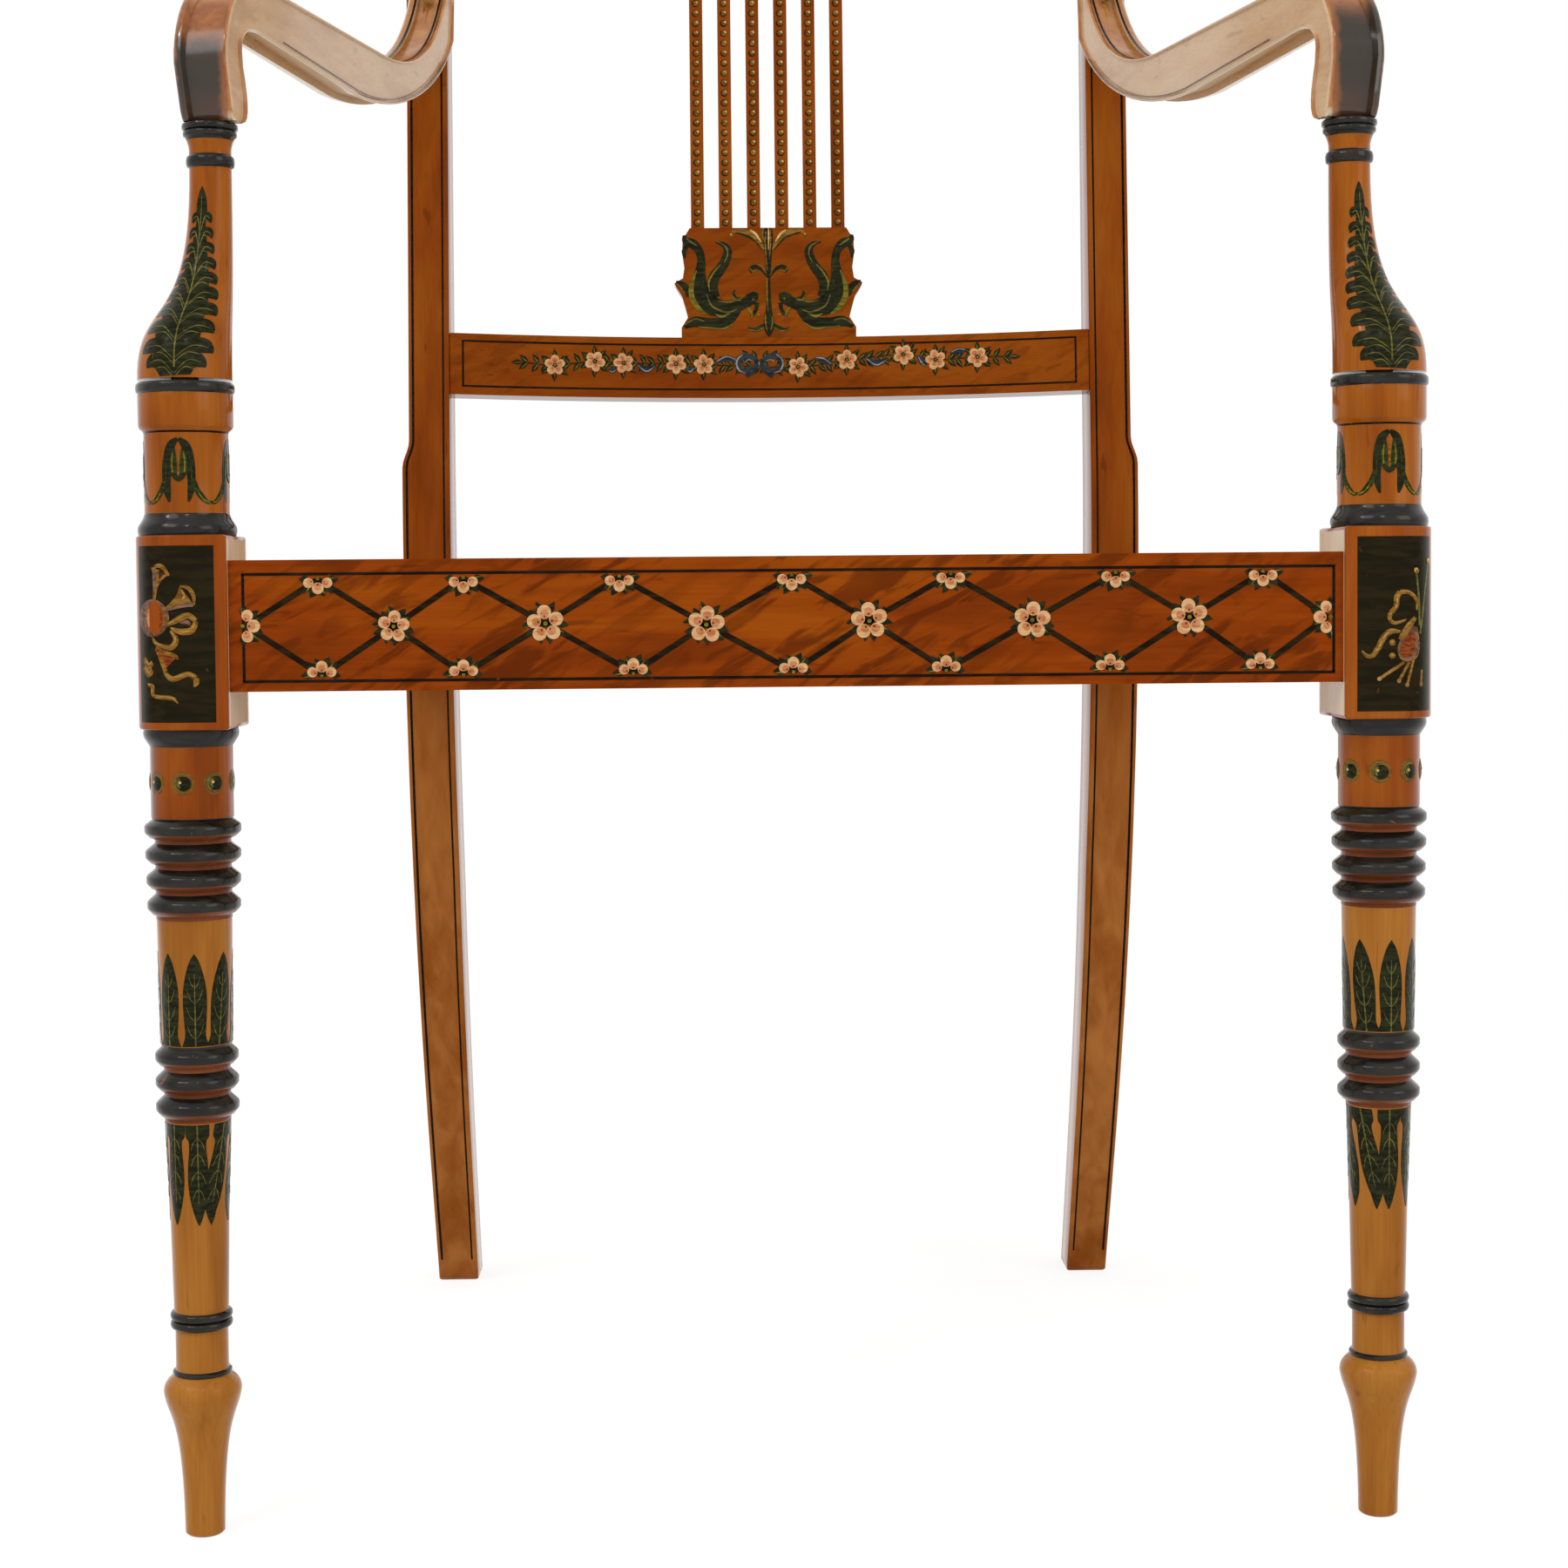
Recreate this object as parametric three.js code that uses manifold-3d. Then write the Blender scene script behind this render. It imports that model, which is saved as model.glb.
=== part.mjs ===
// Painted open armchair with a lyre back: turned front legs, sabre back legs, serpentine arms,
// a caned seat, and six slim strings between two plates. Millimetres, +Z up, front towards -Y.
// The sizes below are written with Y = 0 on the front face of the leg blocks and +Y to the back.
import * as THREE from "three";
import { mergeVertices } from "three/addons/utils/BufferGeometryUtils.js";
import Module from "manifold-3d";

const wasm = await Module();
wasm.setup();

// Clearances and the fineness of curves
const gap = 0.3; // between two pieces that touch
const overrun = 3; // how far a cutting shape passes the face that it opens
const turningFaces = 16;
const boreFaces = 10;
const bendSteps = 12;
const weldDistance = 1e-4;

// Main sizes: over the leg blocks, over the uprights, from the block fronts to the uprights, and in all
const overall = { frontWidth: 580, backWidth: 408, seatRun: 334, height: 899 };

// Seat frame
const seat = { top: 441, railHeight: 58, railThickness: 22, frontSetback: 2.5 };
const leg = { blockWidth: 43, blockDepth: 52, blockRise: 11.3, blockDrop: 16.7, cornerRadius: 20 };
const sideRail = { frontInset: 20, backInset: 3.2 };
const backRail = { setback: 2.5, thickness: 22 };
const tenon = { length: 20, shortLength: 9, thickness: 8, margin: 9 };
const rebate = { width: 10, depth: 2.6 };
const cane = { thickness: 2, pitch: 27, strand: 6.5, edge: 4 };
const brace = { height: 30, drop: 22, reach: 62, sideReach: 46, end: 11 };
const braceScrew = { headR: 4, headH: 2.6, shankR: 2, length: 24, inset: 7 };

// Front leg turnings, from the floor up: r is a radius, h a height
const foot = { soleR: 9.2, bulbR: 17.8, bulbZ: 62, crownH: 13.5 };
const ankle = { r: 11.8, h: 15 };
const lowBeads = { r: 14.4, grooveR: 12.6, h: 10.7, count: 2 };
const taper = { bottomR: 12.2, topR: 14.5 };
const midRings = { r: 18.5, grooveR: 14.8, h: 34.6, count: 3 };
const shaft = { bottomR: 15.9, topR: 16.7, h: 56.6 };
const highRings = { bottomR: 20.7, topR: 21.4, grooveR: 17, h: 45.6, count: 4 };
const lowDrum = { r: 18.3, h: 32 };
const lowCollar = { r: 21.2, h: 7.9 };
const upCollar = { r: 21.9, h: 9.5 };
const upDrum = { r: 18.6, h: 36.5 };
const band = { bottomR: 20.7, topR: 21, h: 16, chamfer: 2.4 };
const topBead = { r: 22.2, h: 7 };

// Arm support: a vase bent so that its inner side stays upright and its swell faces the front corner
const vase = { baseR: 20.9, neckR: 9.4, h: 96, shiftX: 10.4, shiftY: 14 };
const neckBead = { r: 10.8, h: 5.8 };
const neck = { h: 3.4 };
const neckRing = { r: 12.2, h: 10.8, filletR: 10.6, filletH: 4 };
const spigot = { r: 5, h: 16 };
const supportDowel = { r: 6, h: 40 };

// Arm: a knuckle over the support, a level bar and a scroll that climbs the upright
const arm = {
  frontWidth: 25.2,
  backWidth: 22.8,
  outset: 2.5,
  knuckleRise: 70.1,
  knuckleDepth: 21,
  barHeight: 29,
  noseRadius: 43,
  chinRise: 5,
  chinInset: 2.5,
  chinShift: 3,
  elbowInset: 4.2,
  elbowRise: 13,
  elbowRun: 20,
  elbowLift: 5,
  underRise: 58,
  underRun: 150,
  scrollRise: 80,
  scrollRun: 112,
  tipThickness: 3.8,
  tipHeight: 5,
  edge: 1.6,
  outerRound: 6,
  innerRound: 1.6,
};
const armScrew = { headR: 4.5, headH: 3, shankR: 2.4, length: 38, plugR: 5.5, plugH: 6, rise: 50, dip: 19 };

// Back legs and uprights, one length each
const back = {
  lean: 4.5,
  hingeRise: 59,
  uprightWidth: 23,
  legWidth: 26.8,
  footWidth: 24.3,
  kneeDrop: 176,
  crownRise: 5,
  stepDrop: 3,
  stepH: 15,
  sabreRake: 138,
  topDepth: 24,
  seatDepth: 38,
  footDepth: 30,
};

// Lyre back, in the leaning frame whose origin is the hinge line of the uprights' front faces
const bow = { depth: 22 };
const backTenon = { length: 12, thickness: 7, margin: 6 };
const crossRail = { bottom: 38.7, height: 34.8, thickness: 16, setback: 1.5 };
const crest = { drop: 54.2, height: 46, arch: 14, thickness: 19, setback: 1 };
const plinth = { width: 93, heightShare: 0.239, thickness: 9 };
const plate = { width: 93, heightShare: 0.165, thickness: 9 };
const plateTenon = { width: 62, height: 9, thickness: 5 };
const strings = { count: 6, pitch: 16.2, width: 7.6, thickness: 5 };
const stringStub = { width: 4.6, height: 5, thickness: 3 };

// Curves: two ends and two pulls, as shares of the way from one given point to another
const vaseShares = [[1, 0], [1, 0.4], [0, 0.22], [0, 1]];
const footShares = [[0, 0], [0.07, 0.86], [0.8, 0.8], [1, 1]];
const sabreShares = [[1, 0], [0.77, 0.14], [-0.12, 0.53], [0, 1]];
const scrollShares = [[0, 0], [0.54, 0], [0.87, 0.34], [1, 1]];
const underShares = [[0, 0], [0.34, 0], [0.8, 0.31], [1, 1]];
const elbowShares = [[0, 0], [3, 0.05], [2.6, 0.5], [1, 1]];
const cornerShares = [[0, 0], [0, 0.65], [0.35, 1], [1, 1]];

// Outlines and stations as shares
const plinthHeightShares = [0, 0.1, 0.19, 0.25, 0.38, 0.46, 0.5, 0.525, 0.545, 0.64, 0.77, 0.88, 0.94, 1];
const plinthWidthShares = [1.08, 1.08, 1, 1.02, 1.07, 1.14, 1.165, 1.11, 1.06, 1.04, 1.065, 1.06, 1.02, 0.97];
const plateHeightShares = [0, 0.08, 0.2, 0.34, 0.44, 0.5, 0.58, 0.74, 0.88, 1];
const plateWidthShares = [0.97, 1.03, 1.06, 1.05, 1.11, 1.15, 1.06, 1.02, 1.05, 1.04];
const ringHeightShares = [0, 0.16, 0.4, 0.5, 0.72, 0.86];
const ringSwellShares = [0, 0, 0.85, 1, 1, 0.5];
const collarHeightShares = [0, 0.3, 0.52, 0.66, 1];
const collarSwellShares = [0.9, 1, 0.82, 0.4, 0.12];
const crownHeightShares = [0.38, 0.7, 0.92, 1];
const crownSwellShares = [0.92, 0.7, 0.38, 0];
const beadHeightShares = [0, 0.32, 0.68, 1];
const beadSwellShares = [0, 1, 1, 0];
const stepHeightShares = [0, 0.25, 0.6, 1];
const stepWidthShares = [1, 0.75, 0.15, 0];

// Derived places
const legAxisX = (overall.frontWidth - leg.blockWidth) / 2;
const legOuterX = overall.frontWidth / 2;
const legInnerX = legOuterX - leg.blockWidth;
const blockTop = seat.top + leg.blockRise;
const railBottom = seat.top - seat.railHeight;
const blockBottom = railBottom - leg.blockDrop;
const axisY = leg.blockDepth / 2;
const legTop = blockTop + upCollar.h + upDrum.h + band.h + topBead.h;
const neckX = legAxisX - vase.shiftX;
const neckY = axisY + vase.shiftY;
const supportTop = legTop + gap + vase.h + neckBead.h + neck.h + neckRing.h;
const chinZ = supportTop + gap;
const armTop = chinZ + arm.knuckleRise;
const frontRailBack = seat.frontSetback + seat.railThickness;
const uprightOuterX = overall.backWidth / 2;
const backInnerX = uprightOuterX - back.uprightWidth;
const uprightX = backInnerX + back.uprightWidth / 2;
const backLegOuterX = backInnerX + back.legWidth;
const kneeZ = seat.top - back.kneeDrop;
const sideFrontX = legAxisX - sideRail.frontInset;
const sideBackX = backInnerX + sideRail.backInset;
const hingeY = overall.seatRun;
const backRailFront = hingeY + backRail.setback;
const armFrontX = neckX + arm.outset;
const armFrontY = neckY - arm.knuckleDepth / 2;
const noseZ = armTop - arm.noseRadius;
const hingeZ = seat.top + back.hingeRise;
const uprightTop = overall.height - back.crownRise;
const leanRad = THREE.MathUtils.degToRad(back.lean);
const crossTop = crossRail.bottom + crossRail.height;
const crestBottom = (uprightTop - hingeZ) / Math.cos(leanRad) - crest.drop;
const lyreRun = crestBottom - crossTop;
const stringY = crossRail.setback + bow.depth + crossRail.thickness / 2;
const lerp = THREE.MathUtils.lerp;

// Materials
const finish = (color, roughness) => new THREE.MeshStandardMaterial({ color, roughness, metalness: 0 });
const satinwood = finish(0xa9561f, 0.3);
const paleSatinwood = finish(0xb8703a, 0.32);
const beech = finish(0xc49a64, 0.6);
const canework = finish(0xd9b777, 0.55);
const dowelwood = finish(0xcda878, 0.7);
const steel = new THREE.MeshStandardMaterial({ color: 0x7d7a74, roughness: 0.4, metalness: 0.9 });

// A closed geometry as a solid that can be joined and cut
function solid(geometry) {
  const bare = geometry.index ? geometry.toNonIndexed() : geometry.clone();
  bare.deleteAttribute("normal");
  bare.deleteAttribute("uv");
  const merged = mergeVertices(bare, weldDistance);
  return new wasm.Manifold(
    new wasm.Mesh({
      numProp: 3,
      vertProperties: merged.attributes.position.array,
      triVerts: new Uint32Array(merged.index.array),
    }),
  );
}

// A solid as a named mesh, in the group that carries it
function piece(name, made, material, parent) {
  const out = made.getMesh();
  const indexed = new THREE.BufferGeometry();
  indexed.setAttribute("position", new THREE.BufferAttribute(out.vertProperties, 3));
  indexed.setIndex(new THREE.BufferAttribute(out.triVerts, 1));
  const geometry = indexed.toNonIndexed();
  geometry.computeVertexNormals();
  const mesh = new THREE.Mesh(geometry, material);
  mesh.name = name;
  parent.add(mesh);
  return mesh;
}

const box = (x0, x1, y0, y1, z0, z1) =>
  new THREE.BoxGeometry(x1 - x0, y1 - y0, z1 - z0).translate(
    (x0 + x1) / 2,
    (y0 + y1) / 2,
    (z0 + z1) / 2,
  );

const shapeOf = (points) => new THREE.Shape(points.map(([u, v]) => new THREE.Vector2(u, v)));

// Outline in plan, X and Y, raised from z0 to z1
const prismZ = (shape, z0, z1) =>
  new THREE.ExtrudeGeometry(shape, { depth: z1 - z0, bevelEnabled: false }).translate(0, 0, z0);

// Outline in the side view, Y and Z, drawn out along X
const sideView = new THREE.Matrix4().set(0, 0, 1, 0, 1, 0, 0, 0, 0, 1, 0, 0, 0, 0, 0, 1);
const prismX = (shape, x0, x1) =>
  new THREE.ExtrudeGeometry(shape, { depth: x1 - x0, bevelEnabled: false })
    .applyMatrix4(sideView)
    .translate(x0, 0, 0);

// Outline in the front view, X and Z, drawn out along Y
const prismY = (shape, y0, y1) =>
  new THREE.ExtrudeGeometry(shape, { depth: y1 - y0, bevelEnabled: false })
    .rotateX(Math.PI / 2)
    .translate(0, y1, 0);

// Profile of radius and height pairs turned round the Z axis
const turned = (profile, faces) =>
  new THREE.LatheGeometry(
    profile.map(([r, z]) => new THREE.Vector2(r, z)),
    faces,
  ).rotateX(Math.PI / 2);

// The same geometry with every vertex moved by a rule
function reshape(geometry, rule) {
  const position = geometry.attributes.position;
  const point = new THREE.Vector3();
  for (let i = 0; i < position.count; i += 1) {
    point.fromBufferAttribute(position, i);
    rule(point);
    position.setXYZ(i, point.x, point.y, point.z);
  }
  return geometry;
}

// A geometry made on the Z axis, laid along a direction from a start point
function lay(geometry, start, direction) {
  const turn = new THREE.Quaternion().setFromUnitVectors(new THREE.Vector3(0, 0, 1), direction);
  return geometry.applyQuaternion(turn).translate(start.x, start.y, start.z);
}

const pin = (r, length, faces = boreFaces) =>
  turned([[0, 0], [r, 0], [r, length], [0, length]], faces);

// Countersunk screw, its head at the origin; grow makes the hole that it goes in
const screwShape = (size, grow = 0) =>
  turned(
    [
      [0, -grow],
      [size.headR + grow, -grow],
      [size.shankR + grow, size.headH + grow],
      [size.shankR + grow, size.length - size.shankR],
      [0, size.length + grow],
    ],
    boreFaces,
  );

// Points of a curve from one point to another, its pulls given as shares of the way
const curveBetween = (start, end, shares, steps = bendSteps) => {
  const [from, to] = [new THREE.Vector2(...start), new THREE.Vector2(...end)];
  const ends = shares.map(([u, v]) => new THREE.Vector2(lerp(from.x, to.x, u), lerp(from.y, to.y, v)));
  return new THREE.CubicBezierCurve(...ends).getPoints(steps).map((p) => [p.x, p.y]);
};

// Value at a height, read from the points of a curve that rises
function valueAt(height, points) {
  const next = Math.max(1, points.findIndex(([, z]) => z >= height));
  const [[low, lowZ], [high, highZ]] = [points[next - 1], points[next]];
  return lerp(low, high, (height - lowZ) / (highZ - lowZ));
}

// Turned swelling from one radius towards another, its stations given as shares
const swelling = (z, h, fromR, toR, heightShares, swellShares) =>
  heightShares.map((share, i) => [lerp(fromR, toR, swellShares[i]), z + h * share]);

// Turned run of equal rings with grooves between them, from a height upward
function ringRun(z, run, radiusOf) {
  const points = [];
  const pitch = run.h / run.count;
  for (let i = 0; i < run.count; i += 1) {
    const low = z + i * pitch;
    points.push(...swelling(low, pitch, run.grooveR, radiusOf(i), ringHeightShares, ringSwellShares));
  }
  return points;
}

// Front leg: one turning, left square only at the block that takes the seat rails
function frontLegProfile() {
  const points = [[0, 0], ...curveBetween([foot.soleR, 0], [foot.bulbR, foot.bulbZ], footShares)];
  points.push(
    ...swelling(foot.bulbZ, foot.crownH, ankle.r, foot.bulbR, crownHeightShares, crownSwellShares),
  );
  let z = foot.bulbZ + foot.crownH + ankle.h;
  points.push([ankle.r, z], ...ringRun(z, lowBeads, () => lowBeads.r));
  z += lowBeads.h;
  points.push([taper.bottomR, z]);
  z = blockBottom - lowCollar.h - lowDrum.h - highRings.h - shaft.h - midRings.h;
  points.push([taper.topR, z], ...ringRun(z, midRings, () => midRings.r));
  z += midRings.h;
  points.push([shaft.bottomR, z], [shaft.topR, z + shaft.h]);
  z += shaft.h;
  const ringR = (i) => lerp(highRings.bottomR, highRings.topR, i / (highRings.count - 1));
  points.push(...ringRun(z, highRings, ringR));
  points.push([lowDrum.r, z + highRings.h]);
  points.push(
    ...swelling(blockBottom, -lowCollar.h, lowDrum.r, lowCollar.r, collarHeightShares, collarSwellShares)
      .reverse(),
    ...swelling(blockTop, upCollar.h, upDrum.r, upCollar.r, collarHeightShares, collarSwellShares),
  );
  z = blockTop + upCollar.h + upDrum.h;
  points.push([upDrum.r, z], [band.bottomR, z + band.chamfer]);
  points.push(
    ...swelling(z + band.h, topBead.h, band.topR, topBead.r, beadHeightShares, beadSwellShares),
    [0, legTop],
  );
  return points;
}

// Plan of the leg block, its front outer corner rounded
function blockPlan() {
  const plan = new THREE.Shape();
  plan.moveTo(legInnerX, 0);
  plan.lineTo(legOuterX - leg.cornerRadius, 0);
  plan.absarc(legOuterX - leg.cornerRadius, leg.cornerRadius, leg.cornerRadius, -Math.PI / 2, 0);
  plan.lineTo(legOuterX, leg.blockDepth);
  plan.lineTo(legInnerX, leg.blockDepth);
  return shapeOf(plan.extractPoints(bendSteps / 2).shape.map((p) => [p.x, p.y]));
}

// Each tenon is cut out of its neighbour larger by the gap
const tenonLow = railBottom + tenon.margin;
const tenonHigh = seat.top - tenon.margin;
const frontTenonY = seat.frontSetback + seat.railThickness / 2;
const sideTenonX = sideFrontX + seat.railThickness / 2;
const sideTenonBackX = sideBackX + seat.railThickness / 2;
const backTenonY = backRailFront + backRail.thickness / 2;
const halfTenon = tenon.thickness / 2;

const tenonBox = (x0, x1, y0, y1, grow) =>
  solid(box(x0 - grow, x1 + grow, y0 - grow, y1 + grow, tenonLow - grow, tenonHigh + grow));
const tenonAcross = (x0, x1, y, grow) => tenonBox(x0, x1, y - halfTenon, y + halfTenon, grow);
const tenonDeep = (x, y0, y1, grow) => tenonBox(x - halfTenon, x + halfTenon, y0, y1, grow);
const frontTenon = (grow) =>
  tenonAcross(legInnerX - overrun, legInnerX + tenon.length, frontTenonY, grow);
const backRailTenon = (grow) =>
  tenonAcross(backInnerX - overrun, backInnerX + tenon.shortLength, backTenonY, grow);
const sideTenonFront = (grow) =>
  tenonDeep(sideTenonX, leg.blockDepth - tenon.length, leg.blockDepth + overrun, grow);
const sideTenonBack = (grow) =>
  tenonDeep(sideTenonBackX, hingeY - overrun, hingeY + tenon.length, grow);

// Front face of the back leg: the sabre curve below the hinge line, the straight lean above it
const sabreLine = curveBetween([hingeY, 0], [hingeY + back.sabreRake, hingeZ], sabreShares);
const frontFaceY = (z) =>
  z >= hingeZ ? hingeY + (z - hingeZ) * Math.tan(leanRad) : valueAt(Math.max(z, 0), sabreLine);

function legDepthAt(z) {
  if (z > seat.top) return lerp(back.seatDepth, back.topDepth, (z - seat.top) / (uprightTop - seat.top));
  return lerp(back.footDepth, back.seatDepth, Math.min(1, z / railBottom));
}
const rearFaceY = (z) => frontFaceY(z) + legDepthAt(z);

function backLegSide() {
  const heights = [...sabreLine.map(([, z]) => z), uprightTop];
  const front = heights.map((z) => [frontFaceY(z), z]);
  const rear = heights.map((z) => [rearFaceY(z), z]);
  const crown = [frontFaceY(uprightTop) + back.topDepth / 2, overall.height];
  return shapeOf([...rear, crown, ...front.reverse()]);
}

// Front view of the back leg: tapered foot, and a small ogee where it narrows to the upright
function backLegFront() {
  const stepZ = hingeZ - back.stepDrop;
  const ogee = swelling(
    stepZ, back.stepH, uprightOuterX, backLegOuterX, stepHeightShares, stepWidthShares,
  );
  return shapeOf([
    [backLegOuterX - back.footWidth, 0],
    [backLegOuterX, 0],
    ...ogee,
    [uprightOuterX, overall.height],
    [backInnerX, overall.height],
    [backInnerX, kneeZ],
  ]);
}

// The leaning frame of the lyre back
const backFrame = new THREE.Group();
backFrame.position.set(0, hingeY, hingeZ);
backFrame.rotation.x = -leanRad;
backFrame.updateMatrix();

// Tenon at the right end of a back rail, in the leaning frame
function backTenonBox(rail, grow) {
  const y = rail.setback + rail.thickness / 2;
  return box(
    backInnerX - overrun,
    backInnerX + backTenon.length + grow,
    y - backTenon.thickness / 2 - grow,
    y + backTenon.thickness / 2 + grow,
    rail.bottom + backTenon.margin - grow,
    rail.bottom + rail.height - backTenon.margin + grow,
  );
}

// Rail bowed to the back in plan, with a tenon at each end
function bowedRail(rail, height) {
  const reach = backInnerX - gap;
  const front = [];
  const rear = [];
  for (let i = 0; i <= bendSteps; i += 1) {
    const x = lerp(-reach, reach, i / bendSteps);
    const y = rail.setback + bow.depth * (1 - (x / reach) ** 2);
    front.push([x, y]);
    rear.unshift([x, y + rail.thickness]);
  }
  const body = solid(prismZ(shapeOf([...front, ...rear]), rail.bottom, rail.bottom + height));
  const tenonRight = solid(backTenonBox(rail, 0));
  return { body, tenons: tenonRight.add(tenonRight.mirror([1, 0, 0])) };
}

// Scrolled plate outline, mirrored about the middle
function platePoints(size, heightShares, widthShares, bottom) {
  const right = heightShares.map((share, i) => [
    (size.width / 2) * widthShares[i],
    bottom + lyreRun * size.heightShare * share,
  ]);
  const left = right.map(([x, z]) => [-x, z]).reverse();
  return shapeOf([...right, ...left]);
}

const plateTenonBox = (z0, z1, grow) =>
  box(
    -plateTenon.width / 2 - grow,
    plateTenon.width / 2 + grow,
    stringY - plateTenon.thickness / 2 - grow,
    stringY + plateTenon.thickness / 2 + grow,
    z0,
    z1,
  );

const stringX = (i) => (i - (strings.count - 1) / 2) * strings.pitch;
const plinthTop = crossTop + gap + lyreRun * plinth.heightShare;
const plateBottom = crestBottom - gap - lyreRun * plate.heightShare;

function stringShape(i, grow) {
  const x = stringX(i);
  const stub = (z0, z1) =>
    solid(
      box(
        x - stringStub.width / 2 - grow,
        x + stringStub.width / 2 + grow,
        stringY - stringStub.thickness / 2 - grow,
        stringY + stringStub.thickness / 2 + grow,
        z0,
        z1,
      ),
    );
  const bar = solid(
    box(
      x - strings.width / 2,
      x + strings.width / 2,
      stringY - strings.thickness / 2,
      stringY + strings.thickness / 2,
      plinthTop + gap,
      plateBottom - gap,
    ),
  );
  return bar.add(stub(plinthTop - stringStub.height - grow, plateBottom + stringStub.height + grow));
}

// Arm outline in the side view
function armSide() {
  const barBottom = armTop - arm.barHeight;
  const restY = (z) => frontFaceY(z) - gap;
  const elbowY = armFrontY + arm.knuckleDepth;
  const cornerY = elbowY - arm.chinInset;
  const elbowZ = barBottom + arm.elbowLift;
  const cornerZ = elbowZ - arm.elbowRise;
  const tipZ = armTop + arm.scrollRise;
  const underZ = barBottom + arm.underRise;
  const nose = new THREE.Path();
  nose.absarc(armFrontY + arm.noseRadius, noseZ, arm.noseRadius, Math.PI / 2, Math.PI);
  return shapeOf([
    ...curveBetween(
      [restY(armTop) - arm.scrollRun, armTop],
      [restY(tipZ) - arm.tipThickness, tipZ],
      scrollShares,
    ).reverse(),
    ...nose.getPoints(bendSteps).map((p) => [p.x, p.y]),
    [armFrontY, chinZ + arm.chinRise],
    [armFrontY + arm.chinInset, chinZ],
    ...curveBetween([elbowY - arm.elbowInset, chinZ], [cornerY, cornerZ], elbowShares, bendSteps / 2),
    ...curveBetween([cornerY, cornerZ], [elbowY + arm.elbowRun, elbowZ], cornerShares, bendSteps / 2)
      .slice(1),
    ...curveBetween([restY(barBottom) - arm.underRun, barBottom], [restY(underZ), underZ], underShares),
    [restY(tipZ + arm.tipHeight), tipZ + arm.tipHeight],
  ]);
}

// The arm's edges are rounded, the outer ones more; in plan it narrows and runs in to the upright,
// and its knuckle leans in to the support
function armBlank() {
  const geometry = new THREE.ExtrudeGeometry(armSide(), {
    depth: 1,
    bevelEnabled: true,
    bevelSegments: 1,
    bevelThickness: arm.edge,
    bevelSize: arm.edge,
    bevelOffset: -arm.edge,
  }).applyMatrix4(sideView);
  const run = hingeY - armFrontY;
  return solid(
    reshape(geometry, (p) => {
      const share = (p.y - armFrontY) / run;
      const half = lerp(arm.frontWidth, arm.backWidth, share) / 2;
      const lean = arm.chinShift * Math.max(0, (noseZ - p.z) / (noseZ - chinZ));
      const middle = lerp(armFrontX, uprightX, share) - lean;
      const outward = p.x > 1 / 2;
      const round = outward ? arm.outerRound : arm.innerRound;
      const inset = (round / arm.edge) * (arm.edge - Math.max(0, outward ? p.x - 1 : -p.x));
      p.x = middle + (outward ? 1 : -1) * (half - inset);
    }),
  );
}

// Curved vase with its beads and neck, and a spigot that enters the arm
function supportBlank() {
  const swell = curveBetween([vase.neckR, 0], [vase.baseR, vase.h], vaseShares);
  const neckFoot = vase.h + neckBead.h;
  const ringFoot = neckFoot + neck.h;
  const top = ringFoot + neckRing.h;
  const points = [
    [0, 0],
    ...swell,
    ...swelling(vase.h, neckBead.h, vase.neckR, neckBead.r, beadHeightShares, beadSwellShares).slice(1),
    [vase.neckR, ringFoot],
    [neckRing.filletR, ringFoot + neckRing.filletH],
    [neckRing.r, ringFoot + neckRing.filletH * 2],
    [neckRing.r, top],
    [spigot.r, top],
    [spigot.r, top + spigot.h],
    [0, top + spigot.h],
  ];
  return solid(
    reshape(turned(points, turningFaces), (p) => {
      const radius = valueAt(Math.min(Math.max(p.z, 0), vase.h), swell);
      const bend = (vase.baseR - radius) / (vase.baseR - vase.neckR);
      p.x += legAxisX - vase.shiftX * bend;
      p.y += axisY + vase.shiftY * bend;
      p.z += legTop + gap;
    }),
  );
}

const up = new THREE.Vector3(0, 0, 1);
const forward = new THREE.Vector3(0, -1, 0);

// Inner face of a side rail at a distance from the front
const sideRun = hingeY - leg.blockDepth;
const railInnerX = (y) => lerp(sideFrontX, sideBackX, (y - leg.blockDepth) / sideRun);

const rebatePlan = shapeOf([
  [-railInnerX(leg.blockDepth) - rebate.width, frontRailBack - rebate.width],
  [railInnerX(leg.blockDepth) + rebate.width, frontRailBack - rebate.width],
  [railInnerX(leg.blockDepth) + rebate.width, leg.blockDepth],
  [railInnerX(hingeY) + rebate.width, hingeY],
  [railInnerX(hingeY) + rebate.width, backRailFront + rebate.width],
  [-railInnerX(hingeY) - rebate.width, backRailFront + rebate.width],
  [-railInnerX(hingeY) - rebate.width, hingeY],
  [-railInnerX(leg.blockDepth) - rebate.width, leg.blockDepth],
]);
const rebateCut = solid(prismZ(rebatePlan, seat.top - rebate.depth, seat.top + overrun));

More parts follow.
